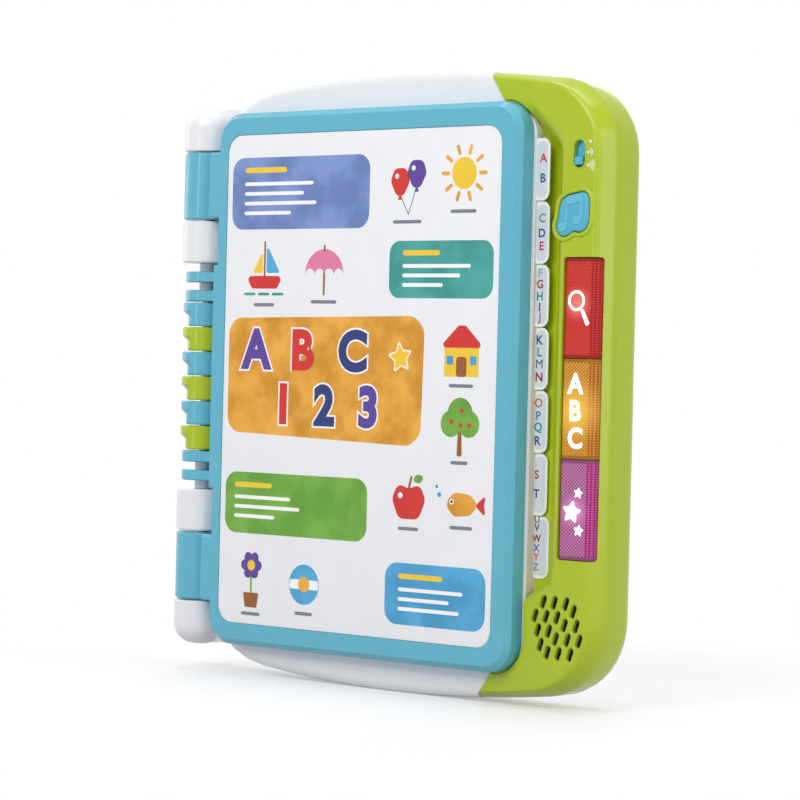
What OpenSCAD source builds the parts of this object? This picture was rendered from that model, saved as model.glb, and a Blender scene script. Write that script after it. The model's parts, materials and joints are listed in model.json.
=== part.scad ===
// Talking picture dictionary: a stand-up electronic book with a hinged cover and six index leaves.
// X runs from the spine to the control bar, Y from the cover to the back, Z up the spine.
// The origin is the middle of the foot on which the book stands.

/* [Case] */
// Overall width, from the spine rings to the side of the control bar
base_w = 258.4; // [252:0.1:272]
// Overall height, from the foot to the crown of the top edge
base_h = 284; // [280:1:300]
// Overall thickness, from the cover's face to the back
base_t = 36; // [35:0.5:44]
// Drop of the long curved top edge from its crown to the spine corner, with the bottom edge its mirror
arch_drop = 4.21; // [3:0.01:6]
// Distance of the crown to the right of the middle
arch_x = 9.6; // [0:0.1:20]
// Depth of the flat foot cut into the bottom edge
land_cut = 0.5; // [0.3:0.05:0.8]
// Corner radius on the control bar's side
corner_r = 35; // [28:1:44]
// Corner radius on the spine side, mostly under the end caps
spine_corner_r = 50; // [40:1:60]
// Wall thickness of the case mouldings
wall = 2.2; // [1.8:0.1:2.6]
// Radius of the rounding along the back edge
back_r = 8; // [6:0.5:8.5]
// Depth of the face of the white rim, behind the cover's face
rim_d = 9.5; // [9.5:0.1:10.5]
// Thickness of the rear shell's edge, behind the parting line
edge_t = 3; // [2.6:0.1:3.5]
// Gap at the joints between mouldings
seam = 0.1; // [0.05:0.05:0.2]

/* [Hinge] */
// Radius of the rod that everything turns on
rod_r = 2.5; // [2:0.1:3]
// Radial clearance of the rings on the rod
rod_fit = 0.08; // [0.03:0.01:0.1]
// Radius of the white knuckles and end caps
knuckle_r = 12.8; // [12:0.1:13]
// Radius of the cover's long barrels
barrel_r = 12.6; // [11.8:0.1:12.8]
// Radius of the cover's thin rings
ring_r = 10.8; // [9.5:0.1:11.5]
// Radius of the leaf rings
cam_r = 11.8; // [11:0.1:12.2]
// Radius of the leaf rings' relieved side
cam_low_r = 9.3; // [8:0.1:10]
// Radius of the spacer sleeves
sleeve_r = 4.4; // [3.6:0.1:6]
// Depth of the rod's axis behind the cover's face
hinge_d = 14; // [13.8:0.1:14.5]
// Length of each end cap
cap_len = 21.4; // [18:0.2:24]
// Radius of the end caps' outer corners
cap_round = 10; // [6:0.5:11]
// Distance of the end caps' ends below the crown of the top edge
cap_drop = 12.2; // [11:0.1:14]
// Length of each white knuckle
knuckle_len = 20.1; // [16:0.1:22]
// Length of each thin ring
ring_len = 5.2; // [4:0.1:6]
// Pitch of the leaf rings along the rod
cam_pitch = 11.93; // [10:0.01:12.2]
// Gap between neighbours on the rod
ring_gap = 0.5; // [0.3:0.05:0.7]

/* [Cover] */
// Width of the control bar that shows beside the cover
bar_w = 42.3; // [41:0.1:46]
// Distance from the foot to the cover's lower edge
cover_end = 14.05; // [13:0.05:17]
// Depth of the cover's rim
cover_t = 9.2; // [8.8:0.1:9.3]
// Thickness of the cover's face and walls
cover_wall = 2; // [1.6:0.1:2.4]
// Width of the slope round the cover's front
cover_slope = 2.6; // [1.6:0.1:3.4]
// Corner radius of the cover
cover_corner_r = 14; // [11:0.5:17]
// Distance from the rod's axis to the cover's spine edge
cover_inset = 15.7; // [15.2:0.1:16.4]
// Reach of the cover's plate towards the spine beside each long barrel
lug_reach = 4; // [3:0.1:4.2]
// Step of the cover's spine edge beside the white knuckles and the end caps
cover_step = 1.1; // [0.5:0.1:2]
// Width of the frame between the spine edge and the printed panel
label_margin = 9.3; // [8:0.1:10.5]
// Width of the frame on the printed panel's other side
label_edge = 10.5; // [9:0.1:12]
// Width of the frame above and below the printed panel
label_end = 10.9; // [10:0.1:14]
// Corner radius of the printed panel
label_corner_r = 8.5; // [4:0.5:12]
// Depth of the printed panel's recess
label_recess = 0.7; // [0.4:0.1:1]
// Thickness of the printed panel
label_t = 0.4; // [0.3:0.05:0.6]
// Thickness of the inner lining panel
liner_t = 1.4; // [1:0.1:1.6]

/* [Leaves] */
// Number of turning leaves
leaf_count = 6; // [6]
// Thickness of a leaf
leaf_t = 0.5; // [0.4:0.05:0.55]
// Pitch of the stacked leaves
leaf_pitch = 0.75; // [0.7:0.05:0.78]
// Distance by which a leaf's edge stands out beside the cover
leaf_over = 1.7; // [1:0.1:2.2]
// Distance of a leaf's ends inside the cover's ends
leaf_short = 2.9; // [2.6:0.1:4]
// Corner radius of a leaf
leaf_corner_r = 13; // [8:0.5:16]
// Distance from the rod's axis to the leaf's bound edge
leaf_inset = 13.8; // [13.6:0.1:15]
// Width of the binding strip
strip_w = 6; // [4:0.5:10]
// Width of an index tab beyond the leaf
tab_w = 7.4; // [5:0.1:8]
// Distance from a leaf's top to the first index tab
tab_start = 13.8; // [13.4:0.1:16]
// Distance from the last index tab to a leaf's lower end
tab_end = 39.9; // [36:0.1:46]
// Gap between neighbouring index tabs
tab_gap = 0.3; // [0.1:0.05:0.6]
// Corner radius of an index tab
tab_corner_r = 4; // [2:0.5:6]

/* [Controls] */
// Depth of the control bar's face
bar_d = 5.4; // [4.6:0.1:6]
// Width of the sloped shoulder between the bar's face and its side
shoulder_w = 4; // [3:0.1:4.6]
// Depth of that shoulder
shoulder_h = 9; // [7:0.1:11]
// Height of the rim round the music key
bezel_h = 0.7; // [0.4:0.1:1]
// Width of the rim round the music key
bezel_w = 1.7; // [1.2:0.1:2]
// Distance from the key window to the bar's side
window_side = 2; // [1.6:0.1:3]
// Width of the key window
window_w = 19; // [17:0.1:19.4]
// Height of the key window's lower end
window_z = 66.5; // [62:0.5:70]
// Distance from the key window's upper end to the middle of the music key
window_drop = 18.9; // [18:0.1:22]
// Depth of the keys' faces below the bar's face
key_recess = 1; // [0.6:0.1:1.4]
// Clearance round a key
key_gap = 0.3; // [0.2:0.05:0.4]
// Travel of a key
key_travel = 1.5; // [1:0.1:1.8]
// Distance of the music key to the left of the keys' middle line
music_left = 5.1; // [4:0.1:6]
// Distance of the music key below the volume slot
music_drop = 26; // [24:0.1:28]
// Distance of the volume slot to the left of the keys' middle line
volume_left = 2.4; // [1:0.1:4]
// Distance of the volume slot below the crown of the top edge
volume_drop = 40.6; // [39:0.1:44]
// Width of the volume slot
volume_w = 6; // [5:0.1:7]
// Length of the volume slot
volume_h = 12; // [10:0.2:13]
// Travel of the volume knob
volume_travel = 6; // [4:0.1:6.2]

/* [Speaker] */
// Distance of the first sound slot from the bar's side
slot_side = 28.4; // [27:0.1:30]
// Height of the first sound slot
slot_z = 47.4; // [46:0.1:49]
// Pitch of the sound slots along a row
slot_pitch = 6.45; // [6:0.05:7]
// Drop from one row to the next
slot_drop = 6.3; // [6:0.05:7]
// Width of a sound slot
slot_w = 2.5; // [1.8:0.1:2.8]
// Length of a sound slot
slot_len = 6; // [5:0.1:6.2]
// Lean of the sound slots
slot_lean = 20; // [10:1:25]
// Radius of the loudspeaker
speaker_r = 14.5; // [12:0.5:14.5]
// Thickness of the loudspeaker
speaker_t = 9; // [7:0.5:10]

/* [Battery] */
// Radius of a battery cell
cell_r = 7.2; // [7:0.05:7.25]
// Length of a battery cell
cell_len = 50; // [49.5:0.1:50.5]
// Number of cells side by side
cell_count = 3; // [3]
// Middle of the battery bay, across and up
bay_x = 12; // [5:1:20]
bay_z = 62; // [58:1:70]

/* [Hidden] */

white = "#F1F1F4";
blue = "#7EC5D4";
lime = "#A6C22F";
teal = "#49A8C4";
steel = "#B9BDC2";
card = "#F4F3EC";
board = "#1E6B3C";
far = 400;

z_mid = (base_h - land_cut) / 2;
side_x = base_w / 2;
parting_d = base_t - edge_t;
hinge_x = -side_x + knuckle_r;
body_x0 = hinge_x + 1;
arch_run = arch_x - body_x0 - spine_corner_r;
arch_r = (pow(arch_run, 2) + pow(arch_drop, 2)) / (2 * arch_drop) + spine_corner_r;
back_reach = 11;
gutter_x = hinge_x + 10.2;
arch_top = [arch_x, base_h - arch_r];
arch_low = [arch_x, arch_r - land_cut];
bore_r = rod_r + rod_fit;

// Places along the rod, as distances from the middle of the book
cam_end = cam_pitch * leaf_count / 2;
ring_b_in = cam_end + ring_gap / 2;
ring_b_out = ring_b_in + ring_len + 0.4;
ring_a_in = ring_b_out + 3.7;
ring_a_out = ring_a_in + ring_len;
knuckle_in = ring_a_out + 4.2;
knuckle_out = knuckle_in + knuckle_len;
cap_out = base_h - cap_drop - z_mid;
cap_in = cap_out - cap_len;
barrel_in = knuckle_out + ring_gap + 0.2;
barrel_out = cap_in - ring_gap - 0.2;
barrel_len = barrel_out - barrel_in;
cap_reach = 20;
rod_end = cap_out - 2.4;

// The cover, whose middle sits a little low on the case
book_mid = z_mid - 0.8;
cover_x0 = hinge_x + cover_inset;
cover_x1 = side_x - bar_w;
cover_w = cover_x1 - cover_x0;
cover_h = 2 * (book_mid - cover_end);
cover_face = label_recess + 2.4;
label_x0 = cover_x0 + label_margin;
label_w = cover_w - label_margin - label_edge;
label_h = cover_h - 2 * label_end;
liner_d = cover_t - liner_t - 0.2;
web_d = 5.2;

// The leaves and the well they lie in
leaf_x0 = hinge_x + leaf_inset;
leaf_x1 = cover_x1 + leaf_over;
leaf_h = cover_h - 2 * leaf_short;
strip_x1 = leaf_x0 + strip_w;
stack_d = cover_t + 0.25;
sheet_d = stack_d + leaf_count * leaf_pitch;
sheet_t = 0.5;
membrane_t = 0.3;
floor_d = sheet_d + sheet_t + membrane_t;
under_d = floor_d + wall;
well_gap = 1;
well_x1 = leaf_x1 + well_gap;
well_h = leaf_h + 2 * well_gap;
well_r = leaf_corner_r + well_gap;
tab_x1 = leaf_x1 + tab_w;
sheet_tab_x1 = tab_x1 + 1.2;
tab_pitch = (leaf_h - tab_start - tab_end + tab_gap) / (leaf_count + 1);
tab_h = tab_pitch - tab_gap;
tab_top = book_mid + leaf_h / 2 - tab_start;
tab_low = tab_top - leaf_count * tab_pitch - tab_h;

// The split between the white front and the lime control panel
split_in_x = side_x - 57.2;
split_out_x = side_x - 69.7;
split_d = rim_d - 1;

// The control bar
window_x1 = side_x - window_side;
window_x = window_x1 - window_w;
key_line_x = window_x + window_w / 2;
volume_x = key_line_x - volume_left;
volume_z = base_h - volume_drop;
music_x = key_line_x - music_left;
music_z = volume_z - music_drop;
window_h = music_z - window_drop - window_z;
valley_d = sheet_d + sheet_t;
valley_x = sheet_tab_x1 + 0.3;
valley_w = window_x - valley_x - 1.5;
valley_top = tab_top + 2.6;
valley_low = tab_low - 11.1;
bar_wall = 2;
key_face_d = bar_d + key_recess;
key_foot_d = bar_d + 7;
flange_d = bar_d + bar_wall + 0.3;
flange_t = 1.4;
key_h = (window_h - 4 * key_gap) / 3;
board_t = 1.6;
light_d = 16;
light_x0 = window_x - 1.2;
light_x1 = window_x1 - 2.6;
light_z0 = window_z - 3;
light_z1 = volume_z + volume_h / 2 + 3;
switch_h = 2.6;
switch_reach = (volume_h + volume_travel) / 2;
plunger_d = light_d - switch_h - key_travel - 0.1;

// The main board and the sensor board
main_x0 = -60;
main_w = 78;
main_z0 = 148;
main_h = 84;
main_d = under_d + 4;
main_back = main_d + board_t;
chip_w = 18;
memory_w = 12;
chip_h = 1.8;
chips = [[main_w / 3, main_h / 2 + 4, chip_w], [main_w - 23, main_h / 2 - 2, memory_w]];
sensor_w = 10;
sensor_h = 84;
main_screws = [
    for (x = [main_x0 + 5, main_x0 + main_w - 5], z = [main_z0 + 5, main_z0 + main_h - 5]) [x, z]];

// The battery bay
door_t = 2;
bay_wall = 1.6;
bay_gap = 0.4;
cell_pitch = 2 * cell_r + bay_gap;
bay_w = cell_count * cell_pitch + bay_gap;
bay_h = cell_len + 9;
cell_d = base_t - door_t - bay_gap - cell_r;
bay_d = cell_d - cell_r - bay_gap;
door_w = bay_w + 10;
door_h = bay_h + 18;
door_r = 4;
door_screw_z = bay_z + door_h / 2 - 4.6;

// The loudspeaker
slot_x = side_x - slot_side;
speaker_x = slot_x + 7.8;
speaker_z = slot_z - 11;
speaker_d = bar_d + bar_wall + 1.5;
magnet_h = 4.2;
magnet_d = speaker_d + 1 + speaker_t - magnet_h;

// Screws: the case screws' heads sink into the back, and their points end in posts under the front
screw_r = 1.5;
screw_head_r = 2.8;
screw_head_d = base_t - 6;
screw_len = 10.6;
post_r = 3.4;
post_d = 24;
thread_fit = 0.05;
deck_screws = [[hinge_x + 32.4, 24], [hinge_x + 32.4, 2 * z_mid - 24], [arch_x, 9.5],
    [arch_x, 2 * z_mid - 9.5], [hinge_x + 26.4, z_mid - 52], [hinge_x + 26.4, z_mid + 52]];
panel_screws = [[side_x - 31.2, 13], [side_x - 31.2, 2 * z_mid - 13], [side_x - 29.7, z_mid - 42],
    [side_x - 29.7, z_mid + 42]];
case_places = concat(deck_screws, panel_screws);

function depth(d) = d - base_t / 2;
function arc(c, r, a0, a1, n) = [
    for (i = [0:n])
        let (a = a0 + (a1 - a0) * i / n)
        c + r * [cos(a), sin(a)]];
function bearing(from, to) = atan2(to[1] - from[1], to[0] - from[0]);
function inner(list) = [for (i = [1:len(list) - 2]) list[i]];
function turn(p, a) = [p[0] * cos(a) - p[1] * sin(a), p[0] * sin(a) + p[1] * cos(a)];

// Centres of the four corner arcs, each of which meets a side and a long arch
reach_r = sqrt(pow(arch_r - corner_r, 2) - pow(side_x - corner_r - arch_x, 2));
reach_l = sqrt(pow(arch_r - spine_corner_r, 2) - pow(arch_x - body_x0 - spine_corner_r, 2));
c_tr = [side_x - corner_r, arch_top[1] + reach_r];
c_br = [side_x - corner_r, arch_low[1] - reach_r];
c_tl = [body_x0 + spine_corner_r, arch_top[1] + reach_l];
c_bl = [body_x0 + spine_corner_r, arch_low[1] - reach_l];

// The case's front view, drawn in by a distance t
function outline(t) = concat(
    arc(c_br, corner_r - t, bearing(arch_low, c_br), 0, 10),
    arc(c_tr, corner_r - t, 0, bearing(arch_top, c_tr), 10),
    inner(arc(arch_top, arch_r - t, bearing(arch_top, c_tr), bearing(arch_top, c_tl), 14)),
    arc(c_tl, spine_corner_r - t, bearing(arch_top, c_tl), 180, 7),
    arc(c_bl, spine_corner_r - t, 180, 360 + bearing(arch_low, c_bl), 7),
    inner(arc(arch_low, arch_r - t, 360 + bearing(arch_low, c_bl), 360 + bearing(arch_low, c_br), 14)));

// Height of the case's upper edge at a place on the spine side
function edge_z(x) = c_tl[1] + sqrt(pow(spine_corner_r, 2) - pow(c_tl[0] - x, 2));

// A body whose sections are the case's outline drawn in: profile is a list of [depth, draw-in]
module slab(profile) {
    rings = [for (p = profile) [for (q = outline(p[1])) [q[0], depth(p[0]), q[1]]]];
    n = len(rings[0]);
    m = len(rings);
    polyhedron(
        points = [for (r = rings) each r],
        faces = concat(
            [[for (i = [n - 1:-1:0]) i]],
            [for (k = [0:m - 2], i = [0:n - 1])
                [k * n + i, k * n + (i + 1) % n, (k + 1) * n + (i + 1) % n, (k + 1) * n + i]],
            [[for (i = [0:n - 1]) (m - 1) * n + i]]),
        convexity = 6);
}

rim_profile = [[rim_d, 4.6], [rim_d + 0.35, 2.4], [rim_d + 1.6, 0.8], [rim_d + 4.5, 0]];
back_profile = [for (a = [0:22.5:90]) [base_t - back_r + back_r * sin(a), back_r - back_r * cos(a)]];
bar_profile = [[bar_d, shoulder_w + 1.6], [bar_d + 0.25, shoulder_w + 0.4], [bar_d + 0.9, shoulder_w - 0.4],
    [bar_d + shoulder_h - 1, 0.35], [bar_d + shoulder_h + 1, 0]];

// A flat shape in the front view, made solid between two depths
module plate(d0, d1) {
    translate([0, depth(d1), 0]) rotate([90, 0, 0]) linear_extrude(d1 - d0) children();
}

module box(x0, x1, d0, d1, z0, z1) {
    translate([x0, depth(d0), z0]) cube([x1 - x0, d1 - d0, z1 - z0]);
}

// A round bar or hole along Y at a place in the front view
module pin(p, r, d0, d1) {
    translate([p[0], depth(d1), p[1]]) rotate([90, 0, 0]) cylinder(r = r, h = d1 - d0, $fn = 32);
}

module round_rect(x0, x1, z0, z1, r) {
    translate([x0 + r, z0]) square([x1 - x0 - 2 * r, z1 - z0]);
    translate([x0, z0 + r]) square([x1 - x0, z1 - z0 - 2 * r]);
    for (x = [x0 + r, x1 - r], z = [z0 + r, z1 - r]) translate([x, z]) circle(r, $fn = 48);
}

// A rectangle centred on a point, drawn in by t
module frame_rect(c, w, h, t, r) {
    round_rect(c[0] - w / 2 + t, c[0] + w / 2 - t, c[1] - h / 2 + t, c[1] + h / 2 - t, r);
}

// A round bar on the rod's axis, between two distances from the middle
module turned(r, a, b) {
    translate([hinge_x, depth(hinge_d), z_mid + a]) cylinder(r = r, h = b - a, $fn = 64);
}

// A ring with softened rims
module soft_ring(r, a, b, soft) {
    translate([hinge_x, depth(hinge_d), z_mid + a]) rotate_extrude($fn = 64)
        polygon([[0, 0], [r - soft, 0], [r, soft], [r, b - a - soft], [r - soft, b - a], [0, b - a]]);
}

// The pocket that the leaves lie in
module leaf_well(d1) {
    plate(-1, d1) round_rect(hinge_x - 20, well_x1, book_mid - well_h / 2, book_mid + well_h / 2, well_r);
}

// Everything left of the split, in the front view, moved left by a gap
module white_side(gap) {
    top = book_mid + well_h / 2;
    low = book_mid - well_h / 2;
    lean = (split_in_x - split_out_x) / (base_h - top);
    translate([-gap, 0]) polygon([
        [-far, -far], [split_out_x - 8 * lean, -8], [split_in_x, low], [well_x1 - well_r, low],
        [well_x1, low + well_r], [well_x1, top - well_r], [well_x1 - well_r, top], [split_in_x, top],
        [split_out_x - 8 * lean, base_h + 8], [-far, far]]);
}

module panel_side(gap) {
    difference() {
        square(2 * far, center = true);
        white_side(-gap);
    }
}

module foot_cut() {
    box(-far, far, -10, far, -20, 0);
}

// The room beyond the barrels that the end caps take out of the case, with a seam round them
module cap_room(gap) {
    for (s = [-1, 1])
        box(-far, hinge_x + cap_reach + gap, -10, parting_d,
            z_mid + (s > 0 ? cap_in - gap : -far), z_mid + (s > 0 ? far : gap - cap_in));
}

// The front view of the strip that runs behind the rings, drawn in by t
module spine_plan(t) {
    x0 = hinge_x - back_reach;
    x1 = hinge_x + cap_reach + 2;
    for (m = [0, 1]) translate([0, z_mid]) mirror([0, m]) polygon(concat(
        [[x1, -1], [x0 + t, -1]],
        arc([x0 + cap_round, cap_out - cap_round], cap_round - t, 180, 90, 8),
        [[hinge_x + 4, cap_out - t], [x1, edge_z(x1) - z_mid - t]]));
}

module posts(places, d0, d1) {
    for (p = places) pin(p, post_r, d0, d1);
}

module rear_shell() {
    color(white) difference() {
        union() {
            difference() {
                intersection() {
                    slab(concat([[20, 0]], back_profile));
                    box(-far, far, parting_d + seam, base_t, -far, far);
                }
                slab([[20, wall + 1.4], [parting_d, wall + 1.4], [base_t - wall, wall + 6]]);
            }
            hull() {
                plate(parting_d + seam, base_t - 1.4) spine_plan(0);
                plate(parting_d + seam, base_t) spine_plan(1.4);
            }
            posts(case_places, post_d + 0.1, base_t - 1);
            for (z = [light_z0 + 8, key_mid(1), light_z1 - 10])
                pin([window_x + 6, z], 2.4, light_d + board_t + 0.1, base_t - 1);
            pin([speaker_x, speaker_z], 5, speaker_d + 1.2 + speaker_t, base_t - 1);
            bay_walls();
        }
        plate(parting_d - 1, base_t - wall) intersection() {
            spine_plan(wall + 1);
            translate([-far, -far]) square([far + hinge_x + cap_reach - 4, 3 * far]);
        }
        for (p = case_places) {
            pin(p, screw_r + thread_fit, post_d - 1, base_t + 1);
            pin(p, screw_head_r + 0.2, screw_head_d, base_t + 1);
        }
        plate(base_t - door_t - 0.1, base_t + 1) door_shape(-0.3);
        plate(bay_d, base_t + 1) frame_rect([bay_x, bay_z], bay_w, bay_h, 0, 0.5);
        pin([bay_x, door_screw_z], screw_r + thread_fit, bay_d, base_t);
        foot_cut();
    }
}

module door_shape(t) {
    frame_rect([bay_x, bay_z], door_w, door_h, t, door_r - t);
}

module bay_walls() {
    plate(bay_d - bay_wall, base_t - wall + 0.2) frame_rect([bay_x, bay_z], bay_w, bay_h, -bay_wall, 1);
    plate(base_t - door_t - wall, base_t - wall + 0.2) door_shape(-wall);
    pin([bay_x, door_screw_z], post_r, post_d, base_t - wall);
}

module deck() {
    color(white) difference() {
        union() {
            difference() {
                intersection() {
                    slab(concat(rim_profile, back_profile));
                    plate(0, parting_d) white_side(seam);
                }
                slab([[under_d, wall], [base_t - back_r, wall], [base_t, wall + 3]]);
                intersection() {
                    slab([[rim_d + wall, wall + 3.4], [rim_d + wall + 3, wall], [under_d + 0.1, wall]]);
                    plate(0, far) difference() {
                        white_side(wall);
                        round_rect(hinge_x - 20, well_x1 + wall, book_mid - well_h / 2 - wall,
                            book_mid + well_h / 2 + wall, well_r + wall);
                    }
                }
            }
            intersection() {
                turned(knuckle_r + 0.5 + wall, seam - cap_in, cap_in - seam);
                box(gutter_x + seam, gutter_x + 40, floor_d, 32, -far, far);
            }
            posts([for (p = deck_screws) if (p[0] < 0) p], floor_d + 1, post_d);
            posts([for (p = deck_screws) if (p[0] > 0) p], rim_d + 1, post_d);
            for (p = main_screws) pin(p, 2.6, floor_d + 1, main_d);
        }
        leaf_well(floor_d);
        cap_room(seam);
        turned(knuckle_r + 0.5, -far, far);
        box(-far, gutter_x + seam, 0, parting_d + 1, -far, far);
        for (p = deck_screws) pin(p, screw_r + thread_fit, screw_head_d - screw_len - 0.4, base_t);
        for (p = main_screws) pin(p, 1.2 + thread_fit, under_d + 0.6, base_t);
        foot_cut();
    }
}

module spine_frame() {
    color(white) difference() {
        union() {
            box(hinge_x - back_reach, gutter_x, hinge_d + knuckle_r + 0.5, parting_d,
                z_mid - cap_in + seam, z_mid + cap_in - seam);
            intersection() {
                turned(knuckle_r + 0.5 + wall, seam - cap_in, cap_in - seam);
                box(hinge_x, gutter_x, hinge_d, parting_d, -far, far);
            }
            for (s = [-1, 1]) {
                a = min(s * knuckle_in, s * knuckle_out);
                soft_ring(knuckle_r, a, a + knuckle_len, 0.8);
                box(hinge_x - 8, gutter_x, hinge_d, parting_d, z_mid + a + 0.8,
                    z_mid + a + knuckle_len - 0.8);
            }
        }
        difference() {
            turned(knuckle_r + 0.5, -far, far);
            for (s = [-1, 1]) {
                a = min(s * knuckle_in, s * knuckle_out);
                turned(knuckle_r + 1, a + 0.8, a + knuckle_len - 0.8);
                soft_ring(knuckle_r, a, a + knuckle_len, 0.8);
            }
        }
        turned(bore_r, -far, far);
        box(hinge_x - 9, gutter_x - wall, hinge_d + knuckle_r + 0.5 + wall, parting_d + 1,
            z_mid - knuckle_in + 1, z_mid + knuckle_in - 1);
    }
}

module top_end_cap() {
    color(white) difference() {
        union() {
            translate([hinge_x, depth(hinge_d), z_mid + cap_in]) rotate_extrude($fn = 64) polygon(concat(
                [[0, 0], [knuckle_r - 0.6, 0], [knuckle_r, 0.6]],
                arc([knuckle_r - cap_round, cap_len - cap_round], cap_round, 0, 90, 10),
                [[0, cap_len]]));
            intersection() {
                plate(hinge_d, parting_d) spine_plan(0.6);
                box(-far, hinge_x + cap_reach, 0, far, z_mid + cap_in, z_mid + far);
            }
            difference() {
                intersection() {
                    slab(concat(rim_profile, back_profile));
                    box(hinge_x, hinge_x + cap_reach, 0, parting_d, z_mid + cap_in, z_mid + far);
                }
                leaf_well(floor_d);
            }
        }
        intersection() {
            leaf_well(floor_d);
            box(hinge_x + knuckle_r + 0.2, far, -far, far, -far, far);
        }
        turned(bore_r, 0, rod_end);
        box(hinge_x - 8, hinge_x + cap_reach - wall, hinge_d + knuckle_r, parting_d + 1,
            z_mid + cap_in + wall, z_mid + cap_out - cap_round);
    }
}

module bottom_end_cap() {
    translate([0, 0, 2 * z_mid]) mirror([0, 0, 1]) top_end_cap();
}

// The hollow beside the leaves, where the index tabs lie, grown by a wall
module valley(grow) {
    hull() {
        for (z = [valley_low + 12 - grow, valley_top - 16 + grow])
            valley_section(valley_x + grow / 2, valley_w, z, grow);
        for (z = [valley_low - grow, valley_top + grow]) valley_section(well_x1 + grow / 2, 2, z, grow);
    }
}

module valley_section(x, w, z, grow) {
    translate([0, 0, z]) linear_extrude(0.1) polygon([
        [well_x1 - 8, depth(-1)], [x + w * 1.7, depth(-1)], [x + w * 0.96, depth(bar_d + 0.3 + grow)],
        [x + w * 0.7, depth(bar_d + 1.8 + grow)], [x, depth(valley_d + grow)],
        [well_x1 - 8, depth(valley_d + grow)]]);
}

module control_panel() {
    color(lime) difference() {
        union() {
            difference() {
                intersection() {
                    slab(concat(bar_profile, back_profile));
                    plate(0, parting_d) panel_side(0);
                }
                wing_slope(0);
                valley_cut(0);
                panel_hollow();
            }
            plate(bar_d - bezel_h, bar_d + bar_wall) music_shape(-bezel_w);
            plate(bar_d - bezel_h, bar_d + 5.6) intersection() {
                music_shape(-bezel_w);
                translate([0, 0]) square([valley_x + valley_w + 1, far]);
            }
            posts([for (p = panel_screws) if (abs(p[1] - z_mid) > 60) p], bar_d + bar_wall + 2, post_d);
            posts([for (p = panel_screws) if (abs(p[1] - z_mid) < 60) p], valley_d, post_d);
            for (z = [light_z0 + 0.6, window_z + window_h + 1.8])
                box(window_x, window_x1 - 3, bar_d + 1, light_d - 0.1, z, z + 1.4);
        }
        leaf_well(valley_d);
        plate(-1, stack_d)
            frame_rect([(cover_x0 + cover_x1) / 2, book_mid], cover_w, cover_h, -0.8, cover_corner_r);
        box(window_x, window_x1, -1, key_foot_d + key_travel + 0.5, window_z, window_z + window_h);
        box(window_x1 - 1, far, -1, bar_d + 3.6, window_z, window_z + window_h);
        plate(-1, bar_d + 7) music_shape(0);
        plate(-1, bar_d + 7) volume_shape(0);
        plate(-1, speaker_d - 0.6) sound_slots();
        for (p = panel_screws) pin(p, screw_r + thread_fit, screw_head_d - screw_len - 0.4, base_t);
        foot_cut();
    }
}

// The inside of the control panel's moulding
module panel_hollow() {
    difference() {
        intersection() {
            slab([[bar_d + bar_wall, shoulder_w + 4.5], [bar_d + bar_wall + 1.2, shoulder_w + 2],
                [bar_d + shoulder_h + 1, wall], [base_t - back_r, wall], [base_t, wall + 3]]);
            union() {
                plate(0, far) panel_side(wall);
                box(-far, far, under_d, far, -far, far);
            }
        }
        wing_slope(bar_wall);
        difference() {
            valley_cut(wall);
            box(-far, far, under_d, far, -far, far);
        }
        intersection() {
            pin([speaker_x, speaker_z], speaker_r + 0.4, 0, speaker_d);
            difference() {
                box(0, side_x - 1, 0, speaker_d, 0, far);
                pin([speaker_x, speaker_z], speaker_r - 2, 0, base_t);
            }
        }
    }
}

module valley_cut(grow) {
    intersection() {
        valley(grow);
        box(well_x1 - 1, far, -2, valley_d + grow, -far, far);
    }
}

// What is taken off the front of the panel's wings, so that they fall towards the white rim
module wing_slope(grow) {
    translate([0, 0, -20]) linear_extrude(base_h + 40) polygon([
        [0, depth(-2)], [window_x, depth(-2)], [window_x, depth(bar_d + grow)],
        [split_in_x, depth(split_d + grow)], [0, depth(split_d + 3 + grow)]]);
}

module slot_shape() {
    rotate(-slot_lean) {
        for (s = [-1, 1]) translate([0, s * (slot_len - slot_w) / 2]) circle(slot_w / 2, $fn = 20);
        square([slot_w, slot_len - slot_w], center = true);
    }
}

// Two staggered groups of slots; each row gives its first and last place along the row
module sound_slots() {
    left_rows = [[0, 2], [-1, 1], [-1, 0], [-1, -1]];
    right_rows = [[2, 2], [1, 2], [0, 2], [-1, 1]];
    row_shift = 1.75;
    for (j = [0:3]) {
        for (i = [left_rows[j][0]:left_rows[j][1]])
            translate([slot_x + slot_pitch * i + row_shift * j, slot_z - slot_drop * j]) slot_shape();
        for (i = [right_rows[j][0]:right_rows[j][1]])
            translate([slot_x + 4.2 + slot_pitch * i + row_shift * j, slot_z - 3.1 - slot_drop * j])
                slot_shape();
    }
}

// The outline of the music key, a note's beam above two round heads, drawn in by t
module music_shape(t) {
    translate([music_x, music_z]) {
        translate([-4.6, -5.8]) circle(4.7 - t, $fn = 48);
        translate([4, -3.3]) circle(5.2 - t, $fn = 48);
        translate([5.4, 5.8]) circle(4 - t, $fn = 48);
        translate([-2.2, 3.4]) circle(5 - t, $fn = 48);
        polygon([[-9.2 + t, -5.2], [-4.6, -5.8], [4, -3.3], [9.2 - t, -3.3], [9.4 - t, 5.8], [5.4, 9.8 - t],
            [-2.6, 8.4 - t], [-7.1 + t, 4]]);
        polygon([[-4, -10.4 + t], [-1.2, -8.9 + t], [1.6, -7.9 + t], [4, -8.5 + t], [4, 0], [-4, 0]]);
    }
}

module volume_shape(t) {
    frame_rect([volume_x, volume_z], volume_w, volume_h, t, volume_w / 2 - t - 0.01);
}

module hinge_rod() {
    color(steel) turned(rod_r, -rod_end + 0.3, rod_end - 0.3);
}

module rod_sleeves() {
    color(white) for (s = [-1, 1], g = [[ring_b_out, ring_a_in], [ring_a_out, knuckle_in]]) difference() {
        turned(sleeve_r, min(s * g[0], s * g[1]) + 0.15, max(s * g[0], s * g[1]) - 0.15);
        turned(bore_r, -far, far);
    }
}

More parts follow.
